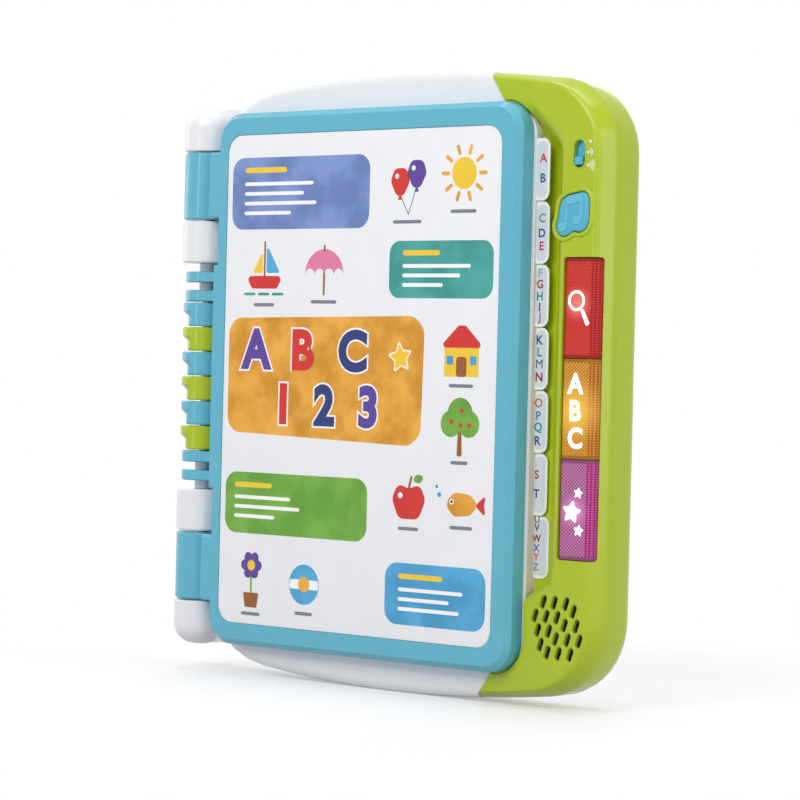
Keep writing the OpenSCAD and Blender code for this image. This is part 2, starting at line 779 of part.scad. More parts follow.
module touch_membrane() {
    color("#C9D2D6") plate(sheet_d + sheet_t, floor_d)
        frame_rect([(leaf_x0 + well_x1) / 2, book_mid], well_x1 - leaf_x0, leaf_h, 4, leaf_corner_r - 3);
}

module leaf_outline() {
    round_rect(leaf_x0, leaf_x1, book_mid - leaf_h / 2, book_mid + leaf_h / 2, leaf_corner_r);
}

// An index tab: k counts down from the first, x1 is its right end
module tab_shape(k, x1) {
    top = tab_top - k * tab_pitch;
    intersection() {
        round_rect(leaf_x1 - 20, x1, top - tab_h, top, tab_corner_r);
        translate([leaf_x1 - 2, 0]) square([20, far]);
    }
}

module base_sheet() {
    color(card) plate(sheet_d, sheet_d + sheet_t) {
        leaf_outline();
        tab_shape(leaf_count, sheet_tab_x1);
    }
}

module main_board() {
    color(board) difference() {
        box(main_x0, main_x0 + main_w, main_d, main_back, main_z0, main_z0 + main_h);
        for (p = main_screws) pin(p, 1.4, main_d - 1, main_back + 1);
    }
}

module sound_chip() {
    color("#202022") {
        for (c = chips)
            box(main_x0 + c[0] - c[2] / 2, main_x0 + c[0] + c[2] / 2, main_back, main_back + chip_h,
                main_z0 + c[1] - c[2] / 2, main_z0 + c[1] + c[2] / 2);
        pin([main_x0 + main_w - 18, main_z0 + main_h - 18], 3, main_back, main_back + 5.5);
    }
}

module light_board() {
    color(board) box(light_x0, light_x1, light_d, light_d + board_t, light_z0, light_z1);
}

function key_mid(k) = window_z + key_gap + key_h / 2 + k * (key_h + key_gap);

module key_lights() {
    color("#FFF3C4") for (k = [0:2], s = [-1, 1])
        pin([window_x + 6, key_mid(k) + s * 9], 1.5, light_d - 1.4, light_d);
}

module key_switches() {
    color("#2A2A2C") for (p = [for (k = [0:2]) [window_x + 11, key_mid(k)], [music_x + 2, music_z]]) {
        box(p[0] - 3, p[0] + 3, light_d - switch_h + 1, light_d, p[1] - 3, p[1] + 3);
        pin(p, 1.6, light_d - switch_h, light_d - switch_h + 1);
    }
}

module volume_switch() {
    color("#3A3A3D") difference() {
        box(volume_x - 4.5, volume_x + 4.5, light_d - 4, light_d, volume_z - switch_reach,
            volume_z + switch_reach - 0.4);
        box(volume_x - 1.9, volume_x + 1.9, light_d - 5, light_d - 1, volume_z - switch_reach + 1.4,
            volume_z + switch_reach - 1.4);
    }
}

module page_sensor_board() {
    color(board) box(hinge_x + 18, hinge_x + 18 + sensor_w, under_d + 0.05, under_d + 1.25,
        z_mid - sensor_h / 2, z_mid + sensor_h / 2);
}

// A body turned about the loudspeaker's axis; its profile's second coordinate is the depth behind d0
module speaker_turned(d0, profile) {
    translate([speaker_x, depth(d0), speaker_z]) rotate([-90, 0, 0])
        rotate_extrude($fn = 64) polygon(profile);
}

module speaker_basket() {
    r = speaker_r;
    h = speaker_t - magnet_h;
    color("#7B7F84") speaker_turned(speaker_d + 1, [
        [r - 2, 0], [r, 0], [r, 1.2], [r - 3, 1.4], [8.4, h], [4.2, h], [4.2, h - 0.8], [8, h - 0.8],
        [r - 3.4, 0.9], [r - 2, 0.6]]);
}

module speaker_cone() {
    r = speaker_r - 2.3;
    color("#2B2B2E") speaker_turned(speaker_d + 1, [[0, 2.6], [4, 2.6], [r - 1, 0.1], [r, 0.1], [r, 0.4],
        [r - 0.9, 0.4], [4, 3], [0, 3]]);
}

module speaker_magnet() {
    color("#55585C") pin([speaker_x, speaker_z], 8, magnet_d, magnet_d + magnet_h);
}

module speaker_gasket() {
    r = speaker_r;
    color("#3B3B3B") speaker_turned(speaker_d, [[r - 2, 0], [r, 0], [r, 1], [r - 2, 1]]);
}

function cell_x(k) = bay_x + (k - (cell_count - 1) / 2) * cell_pitch;

module battery_cells() {
    color("#C9A24B") for (k = [0:cell_count - 1])
        translate([cell_x(k), depth(cell_d), bay_z - cell_len / 2]) {
        cylinder(r = cell_r, h = cell_len - 1.2, $fn = 48);
        translate([0, 0, cell_len - 1.2]) cylinder(r = 2.7, h = 1.2, $fn = 32);
    }
}

contact_h = (bay_h - cell_len) / 2;

module battery_springs() {
    color(steel) for (k = [0:cell_count - 1]) translate([cell_x(k), depth(cell_d), bay_z - bay_h / 2]) {
        translate([-5, -5, 0]) cube([10, 10, 0.5]);
        translate([0, 0, 0.5]) rotate_extrude($fn = 48)
            polygon([[4.2, 0], [5, 0], [3, contact_h - 0.5], [2.2, contact_h - 0.5]]);
    }
}

module battery_plates() {
    color(steel) for (k = [0:cell_count - 1]) translate([cell_x(k), depth(cell_d), bay_z + cell_len / 2]) {
        cylinder(r = 3, h = contact_h - 0.5, $fn = 32);
        translate([-5, -5, contact_h - 0.5]) cube([10, 10, 0.5]);
    }
}

// A cross-slotted screw whose head's top is at depth d
module screw(p, d, head_r, head_h, r, len) {
    difference() {
        pin(p, head_r, d - head_h, d);
        box(p[0] - head_r * 0.7, p[0] + head_r * 0.7, d - head_h * 0.6, d + 1, p[1] - 0.35, p[1] + 0.35);
        box(p[0] - 0.35, p[0] + 0.35, d - head_h * 0.6, d + 1, p[1] - head_r * 0.7, p[1] + head_r * 0.7);
    }
    pin(p, r, d - len, d - head_h);
}

module case_screws() {
    color(steel) for (p = case_places)
        screw(p, screw_head_d + 1.8, screw_head_r, 1.8, screw_r, screw_len + 1.8);
}

module board_screws() {
    color(steel) for (p = main_screws) screw(p, main_back + 1.4, 2.4, 1.4, 1.2, 6.4);
}

// A lead along a chain of places
module lead(path, r) {
    for (i = [0:len(path) - 2]) hull() {
        translate(path[i]) sphere(r, $fn = 16);
        translate(path[i + 1]) sphere(r, $fn = 16);
    }
}

module speaker_leads() {
    color("#B02A2A") lead([[speaker_x - 9, depth(magnet_d + 0.6), speaker_z + 4], [92, depth(23), 62],
        [46, depth(26), 112], [main_x0 + main_w - 6, depth(main_back + 0.6), main_z0 + 20]], 0.6);
}

module battery_leads() {
    color("#222222") lead([[bay_x - bay_w / 2 - bay_wall - 0.7, depth(cell_d), bay_z + 12],
        [-26, depth(26), 104], [-34, depth(26), 132],
        [main_x0 + 24, depth(main_back + 0.7), main_z0 + 14]], 0.7);
}

module cover_shell() {
    color(blue) difference() {
        union() {
            difference() {
                union() {
                    cover_block(cover_x0 + cover_step, cover_x1, book_mid - cover_h / 2,
                        book_mid + cover_h / 2, cover_corner_r, 1);
                    cover_block(cover_x0, cover_x0 + 30, z_mid - knuckle_in + 0.8, z_mid + knuckle_in - 0.8,
                        1.7, 0.4);
                    for (s = [-1, 1]) {
                        a = min(s * barrel_in, s * barrel_out);
                        cover_block(cover_x0 - lug_reach, cover_x0 + 30, z_mid + a, z_mid + a + barrel_len,
                            1.7, 0.4);
                    }
                }
                plate(cover_face, cover_t + 1) cover_inner(0);
                plate(-1, label_recess) label_shape(0);
            }
            for (s = [-1, 1]) {
                cover_ring(barrel_r, min(s * barrel_in, s * barrel_out), barrel_len, 0.8);
                cover_ring(ring_r, min(s * ring_a_in, s * ring_a_out), ring_len, 0.5);
                cover_ring(ring_r, min(s * ring_b_in, s * ring_b_out), ring_len + 0.4, 0.5);
            }
        }
        turned(bore_r, -far, far);
    }
}

// A block of the cover with sloped front edges; soften scales the slope
module cover_block(x0, x1, z0, z1, r, soften) {
    s = cover_slope * soften;
    hull() {
        plate(0, 0.1)
            round_rect(x0 + s + 0.4, x1 - s - 0.4, z0 + s + 0.4, z1 - s - 0.4, max(r - s - 0.4, 0.2));
        plate(s, s + 0.1) round_rect(x0 + 0.4, x1 - 0.4, z0 + 0.4, z1 - 0.4, r - 0.4);
        plate(cover_t - 0.1, cover_t) round_rect(x0, x1, z0, z1, r);
    }
}

// A ring on the rod, with its bridge to the cover's plate
module cover_ring(r, a, len, soft) {
    soft_ring(r, a, a + len, soft);
    box(hinge_x + 3.2, cover_x0 + cover_step + 1, web_d, cover_t - 0.6, z_mid + a + 0.3,
        z_mid + a + len - 0.3);
}

module cover_inner(t) {
    w = cover_wall + 0.4 + t;
    round_rect(cover_x0 + cover_step + w, cover_x1 - w, book_mid - cover_h / 2 + w,
        book_mid + cover_h / 2 - w, cover_corner_r - w);
}

module label_shape(t) {
    round_rect(label_x0 + t, label_x0 + label_w - t, book_mid - label_h / 2 + t, book_mid + label_h / 2 - t,
        label_corner_r - t);
}

module cover_label() {
    color("white") plate(label_recess - label_t, label_recess) label_shape(0.15);
}

module cover_liner() {
    color(white) plate(liner_d, liner_d + liner_t) cover_inner(0.15);
}

function leaf_d(k) = stack_d + (k - 1) * leaf_pitch;

// The tongues that join a leaf's card to its binding strip
module tongues() {
    for (j = [-2:2]) translate([strip_x1 - 0.5, book_mid + j * 44 - 5]) square([4.5, 10]);
}

module strip_zone() {
    translate([leaf_x0 - 1, -far]) square([strip_w + 1, 3 * far]);
}

// A printed leaf with its index tab
module leaf(k) {
    color(card) plate(leaf_d(k), leaf_d(k) + leaf_t) {
        difference() {
            leaf_outline();
            strip_zone();
            tongues();
        }
        tab_shape(k - 1, tab_x1);
    }
}

// A leaf's binding strip, its arm and its ring on the rod
module binder(k) {
    top = cam_end - (k - 1) * cam_pitch - ring_gap / 2;
    low = top - cam_pitch + ring_gap;
    step = (top - low) * 0.42;
    drop = cam_r - cam_low_r;
    color(k % 2 == 1 ? blue : lime) {
        difference() {
            union() {
                translate([hinge_x, depth(hinge_d), z_mid + low]) rotate_extrude($fn = 64) polygon([
                    [0, 0], [cam_low_r - 0.6, 0], [cam_low_r, 0.6], [cam_low_r, step], [cam_r, step + drop],
                    [cam_r, top - low - 0.6], [cam_r - 0.6, top - low], [0, top - low]]);
                intersection() {
                    soft_ring(cam_r, low, top, 0.6);
                    box(hinge_x, far, -far, far, -far, far);
                }
                box(hinge_x + 4, leaf_x0 + 1, leaf_d(k), leaf_d(k) + leaf_t, z_mid + low + 0.6,
                    z_mid + top - 0.6);
            }
            turned(bore_r, -far, far);
        }
        plate(leaf_d(k), leaf_d(k) + leaf_t) {
            intersection() {
                leaf_outline();
                strip_zone();
            }
            tongues();
        }
    }
}

// A light-up key: its face, and a facet down the bar's shoulder, over a plunger
module light_key(k, tint) {
    z0 = key_mid(k) - key_h / 2;
    x0 = window_x + key_gap;
    x1 = window_x1 - key_gap;
    skin = 1.8;
    color(tint) {
        difference() {
            union() {
                translate([0, 0, z0]) linear_extrude(key_h) polygon([
                    [x0, depth(key_face_d + 0.6)], [x0 + 0.6, depth(key_face_d)],
                    [x1 - 4.4, depth(key_face_d)], [x1 - 3, depth(key_face_d + 0.8)],
                    [x1, depth(bar_d + 5)], [x1, depth(key_foot_d)], [x0, depth(key_foot_d)]]);
                box(x0 - 0.8, x0 + 1, flange_d, flange_d + flange_t, z0 + 2, z0 + key_h - 2);
            }
            box(x0 + skin, x1 - skin, key_face_d + 2.6, far, z0 + skin, z0 + key_h - skin);
        }
        box(window_x + 9.5, window_x + 12.5, key_face_d + 2, plunger_d, key_mid(k) - 1.5, key_mid(k) + 1.5);
    }
}

module search_key() {
    light_key(2, "#E03A2E");
}

module letters_key() {
    light_key(1, "#F0A020");
}

module games_key() {
    light_key(0, "#D85AA0");
}

module music_key() {
    color(teal) {
        plate(bar_d - bezel_h - 0.1, bar_d + 3.4) music_shape(key_gap);
        plate(flange_d, flange_d + flange_t) intersection() {
            music_shape(-0.9);
            translate([window_x + 1.5, 0]) square([window_w - 8, far]);
        }
        box(music_x + 0.5, music_x + 3.5, bar_d + 3, plunger_d, music_z - 1.5, music_z + 1.5);
    }
}

// The volume knob, drawn at its lowest place
module volume_knob() {
    z = volume_z - volume_travel / 2;
    color(teal) {
        plate(flange_d, flange_d + flange_t)
            frame_rect([volume_x, z], volume_w + 2, 2 * switch_reach + 2, 0, 3.7);
        box(volume_x - 2.2, volume_x + 2.2, bar_d - 0.6, flange_d + 0.1, z - 1.7, z + 1.7);
        box(volume_x - 1.6, volume_x + 1.6, flange_d + 1, light_d - 1.6, z - 2, z + 2);
    }
}

module battery_door() {
    color(white) difference() {
        plate(base_t - door_t, base_t) door_shape(0);
        pin([bay_x, door_screw_z], screw_r + thread_fit, bay_d, base_t + 1);
        pin([bay_x, door_screw_z], screw_head_r + 0.1, base_t - 1.2, base_t + 1);
    }
}

module door_screw() {
    color(steel) screw([bay_x, door_screw_z], base_t - 0.1, screw_head_r, 1.1, screw_r, 7);
}

rear_shell();
deck();
spine_frame();
top_end_cap();
bottom_end_cap();
control_panel();
hinge_rod();
rod_sleeves();
touch_membrane();
base_sheet();
main_board();
sound_chip();
light_board();
key_lights();
key_switches();
volume_switch();
page_sensor_board();
speaker_basket();
speaker_cone();
speaker_magnet();
speaker_gasket();
battery_cells();
battery_springs();
battery_plates();
case_screws();
board_screws();
speaker_leads();
battery_leads();
cover_shell();
cover_label();
cover_liner();
for (i = [1:6]) {
    leaf(i);
    binder(i);
}
search_key();
letters_key();
games_key();
music_key();
volume_knob();
battery_door();
door_screw();
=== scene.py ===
import json
import logging
import math
from dataclasses import dataclass
from enum import Enum
from typing import Sequence

import bmesh
import bpy
from mathutils import Matrix, Vector

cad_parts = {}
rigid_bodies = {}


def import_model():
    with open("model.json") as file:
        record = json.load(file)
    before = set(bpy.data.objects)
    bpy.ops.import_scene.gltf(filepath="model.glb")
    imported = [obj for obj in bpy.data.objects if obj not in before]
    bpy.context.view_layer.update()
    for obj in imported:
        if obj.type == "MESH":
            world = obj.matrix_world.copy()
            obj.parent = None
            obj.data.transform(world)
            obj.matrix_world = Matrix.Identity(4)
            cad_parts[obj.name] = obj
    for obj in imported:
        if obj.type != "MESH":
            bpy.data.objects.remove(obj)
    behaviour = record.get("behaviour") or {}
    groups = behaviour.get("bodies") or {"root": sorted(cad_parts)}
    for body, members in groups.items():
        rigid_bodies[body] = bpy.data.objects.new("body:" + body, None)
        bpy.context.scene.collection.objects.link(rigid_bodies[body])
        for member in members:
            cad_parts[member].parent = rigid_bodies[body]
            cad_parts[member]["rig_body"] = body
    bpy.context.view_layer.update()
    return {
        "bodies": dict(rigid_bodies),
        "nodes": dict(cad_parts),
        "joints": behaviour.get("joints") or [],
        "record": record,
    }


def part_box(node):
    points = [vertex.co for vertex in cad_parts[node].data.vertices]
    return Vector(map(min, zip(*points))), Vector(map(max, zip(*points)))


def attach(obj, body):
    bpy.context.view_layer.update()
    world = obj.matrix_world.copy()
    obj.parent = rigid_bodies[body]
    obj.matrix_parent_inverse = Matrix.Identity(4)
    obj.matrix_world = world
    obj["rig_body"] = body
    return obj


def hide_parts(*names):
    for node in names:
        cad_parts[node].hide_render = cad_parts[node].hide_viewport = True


# Looks of the talking picture dictionary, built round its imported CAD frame.
# Sizes are in millimetres, in the places that the part's source gives them: x runs from the spine
# to the control bar, depth runs from the cover's face to the back, and z runs up. A piece is drawn
# in millimetres and turned to metres when it is finished.

LOG = logging.getLogger("picture_dictionary")
MM = 0.001
HALF_T = 18.0
CREASE = 32.0
CAP_TO_FONT = 1.36
WHITE_LIGHT = (1.0, 1.0, 1.0, 1.0)


def linear(colour: str) -> tuple[float, float, float, float]:
    """Turns a screen colour into the linear values that shaders take.

    Args:
        colour: six hexadecimal digits, such as "A6C22F".

    Returns:
        Red, green, blue and an alpha of 1.
    """
    parts = [int(colour[i : i + 2], 16) / 255 for i in (0, 2, 4)]
    return (*[p / 12.92 if p <= 0.04045 else ((p + 0.055) / 1.055) ** 2.4 for p in parts], 1.0)


def lighter(colour: str, share: float) -> str:
    """Moves a colour towards white or towards black.

    Args:
        colour: six hexadecimal digits.
        share: how far it moves, towards white if above 0 and towards black if below.

    Returns:
        The new colour, as six hexadecimal digits.
    """
    goal = 255 if share > 0 else 0
    parts = [int(colour[i : i + 2], 16) for i in (0, 2, 4)]
    return "".join(f"{round(p + (goal - p) * abs(share)):02X}" for p in parts)


def spot(x: float, depth: float, z: float) -> Vector:
    """Returns the point, in millimetres, at a place in the front view and a depth behind it."""
    return Vector((x, depth - HALF_T, z))


# Finishes


class ShaderSheet:
    """A material in the making, with short ways to add and join nodes."""

    def __init__(self, name: str) -> None:
        """Starts a material that holds one Principled shader.

        Args:
            name: the material's name.
        """
        self.material = bpy.data.materials.new(name)
        self.material.use_nodes = True
        self.tree = self.material.node_tree
        self.shader = self.tree.nodes["Principled BSDF"]
        self.place: bpy.types.NodeSocket | None = None

    def add(self, kind: str, **settings: object) -> bpy.types.Node:
        """Adds a node.

        Args:
            kind: its type's name, without the part that all shader nodes share.
            settings: the node's own settings.

        Returns:
            The node.
        """
        node = self.tree.nodes.new("ShaderNode" + kind)
        for key, value in settings.items():
            setattr(node, key, value)
        return node

    def feed(self, socket: bpy.types.NodeSocket, value: object) -> None:
        """Gives an input either a link or a plain value.

        Args:
            socket: the input.
            value: the output to join to it, or the number or colour that it holds.
        """
        if isinstance(value, bpy.types.NodeSocket):
            self.tree.links.new(value, socket)
        else:
            socket.default_value = value

    def coordinates(self) -> bpy.types.NodeSocket:
        """Finds the object's own coordinates.

        Returns:
            The output that gives them, in metres.
        """
        if self.place is None:
            self.place = self.add("TexCoord").outputs["Object"]
        return self.place

    def noise(self, scale: float, detail: float = 2.0) -> bpy.types.NodeSocket:
        """Adds a noise.

        Args:
            scale: grains to a metre.
            detail: how many finer noises lie over it.

        Returns:
            The output that gives it, from 0 to 1.
        """
        node = self.add("TexNoise")
        self.feed(node.inputs["Vector"], self.coordinates())
        node.inputs["Scale"].default_value = scale
        node.inputs["Detail"].default_value = detail
        return node.outputs["Fac"]

    def math(self, operation: str, *values: object, clamp: bool = False) -> bpy.types.NodeSocket:
        """Adds a sum.

        Args:
            operation: what is done.
            values: the outputs or numbers that it is done to.
            clamp: whether the result is held between 0 and 1.

        Returns:
            The output that gives the result.
        """
        node = self.add("Math", operation=operation, use_clamp=clamp)
        for socket, value in zip(node.inputs, values):
            self.feed(socket, value)
        return node.outputs[0]

    def span(self, value: object, low: float, high: float, to_low: float = 0.0,
             to_high: float = 1.0) -> bpy.types.NodeSocket:
        """Carries a value smoothly from one range to another, and holds it at the ends.

        Args:
            value: the output or number.
            low: start of its range.
            high: end of its range.
            to_low: what it gives at the start.
            to_high: what it gives at the end.

        Returns:
            The output that gives the result.
        """
        node = self.add("MapRange", interpolation_type="SMOOTHSTEP")
        keys = ("Value", "From Min", "From Max", "To Min", "To Max")
        for key, given in zip(keys, (value, low, high, to_low, to_high)):
            self.feed(node.inputs[key], given)
        return node.outputs["Result"]

    def mix(self, share: object, first: object, second: object) -> bpy.types.NodeSocket:
        """Mixes two colours.

        Args:
            share: how much there is of the second, from 0 to 1.
            first: the first colour.
            second: the second colour.

        Returns:
            The output that gives the mixed colour.
        """
        node = self.add("Mix", data_type="RGBA")
        self.feed(node.inputs["Factor"], share)
        for index, value in ((6, first), (7, second)):
            self.feed(node.inputs[index], value)
        return node.outputs[2]

    def axes(self) -> tuple[bpy.types.NodeSocket, ...]:
        """Splits the object's own coordinates.

        Returns:
            The outputs that give X, Y and Z, in metres.
        """
        node = self.add("SeparateXYZ")
        self.feed(node.inputs[0], self.coordinates())
        return tuple(node.outputs)

    def bump(self, height: bpy.types.NodeSocket, strength: float, distance: float) -> None:
        """Lays a height over the surface, on top of any bump that is there already.

        Args:
            height: the output that gives it.
            strength: how much of it shows, from 0 to 1.
            distance: how high its peaks are, in metres.
        """
        node = self.add("Bump")
        node.inputs["Strength"].default_value = strength
        node.inputs["Distance"].default_value = distance
        self.feed(node.inputs["Height"], height)
        before = self.shader.inputs["Normal"]
        if before.is_linked:
            self.feed(node.inputs["Normal"], before.links[0].from_socket)
        self.feed(before, node.outputs["Normal"])

    def soft_edges(self, radius: float) -> None:
        """Rounds the look of sharp edges, under any bump.

        Args:
            radius: the edges' radius, in metres.
        """
        node = self.add("Bevel", samples=4)
        node.inputs["Radius"].default_value = radius
        self.feed(self.shader.inputs["Normal"], node.outputs["Normal"])

    def roughness(self, grains: object, middle: float, smoother: float,
                  rougher: float) -> bpy.types.NodeSocket:
        """Lets the roughness follow a grain.

        Args:
            grains: the output that gives the grain, from 0 to 1.
            middle: the finish's own roughness.
            smoother: how much less it is in the lows.
            rougher: how much more it is in the highs.

        Returns:
            The output that gives it.
        """
        return self.span(grains, 0.2, 0.8, middle - smoother, middle + rougher)

    def tones(self, share: object, colour: str, change: float) -> bpy.types.NodeSocket:
        """Mixes a colour's darker and lighter tones."""
        return self.mix(share, linear(lighter(colour, -change)), linear(lighter(colour, change)))

    def product(self, *factors: object) -> bpy.types.NodeSocket:
        """Multiplies outputs or numbers.

        Args:
            factors: what is multiplied.

        Returns:
            The output that gives the product.
        """
        result = factors[-1]
        for factor in reversed(factors[:-1]):
            result = self.math("MULTIPLY", factor, result)
        return result

    def set(self, **values: object) -> None:
        """Sets the shader's own sockets, with underscores for the spaces in their names."""
        for key, value in values.items():
            self.feed(self.shader.inputs[key.replace("_", " ")], value)


@dataclass(frozen=True)
class Finish:
    """What every finish has: a name, a colour and how rough it is."""

    name: str
    colour: str
    roughness: float = 0.32

    def material(self) -> bpy.types.Material:
        """Returns the finish's material, made once."""
        return bpy.data.materials.get(self.name) or self.made()

    def made(self) -> bpy.types.Material:
        """Builds the material: each kind of finish has its own way."""
        raise NotImplementedError


@dataclass(frozen=True)
class MouldedPlastic(Finish):
    """Glossy injection-moulded plastic with the fine grain of its tool and faint flow marks."""

    grain: float = 0.012
    shift: float = 0.02
    glow: float = 0.0
    edge: float = 0.45
    flow_scale: float = 14.0
    grain_scale: float = 1500.0
    haze_scale: float = 70.0
    haze: float = 0.002

    def made(self) -> bpy.types.Material:
        """Builds the material.

        Returns:
            The material.
        """
        sheet = ShaderSheet(self.name)
        sheet.soft_edges(self.edge * MM)
        tone = sheet.tones(sheet.noise(self.flow_scale, 3.0), self.colour, self.shift)
        fine = sheet.noise(self.grain_scale)
        haze = sheet.noise(self.haze_scale)
        rough = sheet.math("ADD", sheet.span(fine, 0.3, 0.7, self.roughness - 0.02, self.roughness + 0.02),
                           sheet.span(haze, 0.3, 0.7, -0.006, 0.008))
        sheet.set(Base_Color=tone, Roughness=rough, IOR=1.5, Specular_IOR_Level=0.42)
        sheet.bump(fine, self.grain, 0.00012)
        sheet.bump(haze, self.haze, 0.0006)
        # The glow is emission: on the key lights it is the lamp's own light, and on the prints it is painted
        # glow.
        if self.glow:
            sheet.set(Emission_Color=linear(self.colour), Emission_Strength=self.glow)
        return sheet.material


@dataclass(frozen=True)
class LitWindow(Finish):
    """A see-through key's plastic, knurled with fine diamonds inside a plain border, with painted light: a
    glow and a glint for the light from behind, shade painted on the border and the sloping side, and
    highlight and shade painted on the knurl.
    """

    left: float = 107.7
    facet: float = 122.5
    low: float = 0.0
    high: float = 1.0
    # Middle and reach of the painted glint, in millimetres.
    painted_glint_x: float = 116.0
    painted_glint_z: float = 100.0
    painted_glint_r: float = 9.0
    bright: str = "FFFFFF"
    # A darker copy of the colour for the sloping side: painted shade.
    shaded_side_colour: str = "FFFFFF"
    # How much lighter the knurl's peaks and darker its hollows are painted: painted highlight and shade.
    contrast: float = 0.2
    diamonds: tuple[float, float] = (560.0, 640.0)
    teeth: tuple[float, float] = (820.0, 900.0)
    left_border: tuple[float, float] = (0.9, 1.5)
    end_border: tuple[float, float] = (1.1, 1.9)
    strength: float = 0.35

    def knurl(self, sheet: ShaderSheet, x: object, z: object, side: object) -> bpy.types.NodeSocket:
        """Draws the diamonds of the face and the teeth of the sloping side.

        Args:
            sheet: the material in the making.
            x: the object's X.
            z: the object's Z.
            side: 1 on the sloping side and 0 on the face.

        Returns:
            The output that gives the knurl's height, from 0 to 1.
        """
        across, up = [sheet.math("MULTIPLY", axis, count) for axis, count in zip((x, z), self.diamonds)]
        slant = [sheet.math("PINGPONG", sheet.math(kind, across, up), 0.5) for kind in ("ADD", "SUBTRACT")]
        diamond = sheet.math("MULTIPLY", sheet.math("MULTIPLY", *slant), 4.0)
        columns, ribs = [sheet.math("PINGPONG", sheet.math("MULTIPLY", axis, count), 0.5)
                         for axis, count in zip((x, z), self.teeth)]
        teeth = sheet.math("MULTIPLY", sheet.math("MULTIPLY", ribs, columns), 4.0)
        return sheet.math("ADD", sheet.math("MULTIPLY", diamond, sheet.math("SUBTRACT", 1.0, side)),
                          sheet.math("MULTIPLY", teeth, side))

    def light(self, sheet: ShaderSheet, x: object, z: object) -> bpy.types.NodeSocket:
        """Draws the painted glint and glow behind the symbol.

        Args:
            sheet: the material in the making.
            x: the object's X.
            z: the object's Z.

        Returns:
            The output that gives the painted glint, from 1 at its middle to 0.
        """
        reach = sheet.add("VectorMath", operation="DISTANCE")
        flat = sheet.add("CombineXYZ")
        for socket, value in zip(flat.inputs, (x, 0.0, z)):
            sheet.feed(socket, value)
        sheet.feed(reach.inputs[0], flat.outputs[0])
        reach.inputs[1].default_value = (self.painted_glint_x * MM, 0.0, self.painted_glint_z * MM)
        return sheet.span(reach.outputs["Value"], 0.0, self.painted_glint_r * MM, 1.0, 0.0)

    def made(self) -> bpy.types.Material:
        """Builds the material.

        Returns:
            The material.
        """
        sheet = ShaderSheet(self.name)
        sheet.soft_edges(0.4 * MM)
        x, _, z = sheet.axes()
        side = sheet.math("GREATER_THAN", x, self.facet * MM)
        (near, far), (start, end) = self.left_border, self.end_border
        inside = sheet.product(sheet.span(x, (self.left + near) * MM, (self.left + far) * MM),
                               sheet.span(z, (self.low + start) * MM, (self.low + end) * MM),
                               sheet.span(z, (self.high - end) * MM, (self.high - start) * MM, 1.0, 0.0))
        knurl = sheet.math("MULTIPLY", sheet.span(self.knurl(sheet, x, z, side), 0.12, 0.7), inside)
        glow = self.light(sheet, x, z)
        # The sloping side takes the darker copy: painted shade.
        colours = (self.colour, self.shaded_side_colour)
        # Knurl peaks painted lighter and hollows darker: painted highlight and shade.
        body = sheet.mix(side, *[sheet.tones(knurl, colour, self.contrast) for colour in colours])
        # The plain border is painted darker: painted shade at the key's edges.
        border = sheet.mix(inside, linear(lighter(self.colour, -0.34)), body)
        # A pale colour mixed in round that middle: painted glint.
        tone = sheet.mix(sheet.math("MULTIPLY", glow, 0.5), border, linear(self.bright))
        # The emission is painted glow, standing in for the light behind the key.
        share = sheet.math("ADD", sheet.math("MULTIPLY", glow, 0.75), 0.2)
        lit = sheet.mix(share, (0.0, 0.0, 0.0, 1.0), tone)
        sheet.set(Base_Color=tone, Roughness=sheet.span(knurl, 0.0, 1.0, 0.16, 0.3), IOR=1.45,
                  Specular_IOR_Level=0.35, Emission_Color=lit, Emission_Strength=self.strength)
        sheet.bump(knurl, 0.5, 0.0002)
        return sheet.material


@dataclass(frozen=True)
class PrintInk(Finish):
    """Ink on a laminated print, with a faint fibre, and a wash of lighter and darker ink."""

    wash: float = 0.012
    wash_scale: float = 90.0

    def made(self) -> bpy.types.Material:
        """Builds the material.

        Returns:
            The material.
        """
        sheet = ShaderSheet(self.name)
        fibre = sheet.noise(900.0, 3.0)
        wash = sheet.noise(self.wash_scale, 3.0)
        tone = sheet.tones(sheet.span(wash, 0.35, 0.65), self.colour, self.wash)
        sheet.set(Base_Color=tone, Roughness=sheet.roughness(fibre, self.roughness, 0.04, 0.05), IOR=1.46,
                  Specular_IOR_Level=0.4)
        sheet.bump(fibre, 0.02, 0.00006)
        return sheet.material


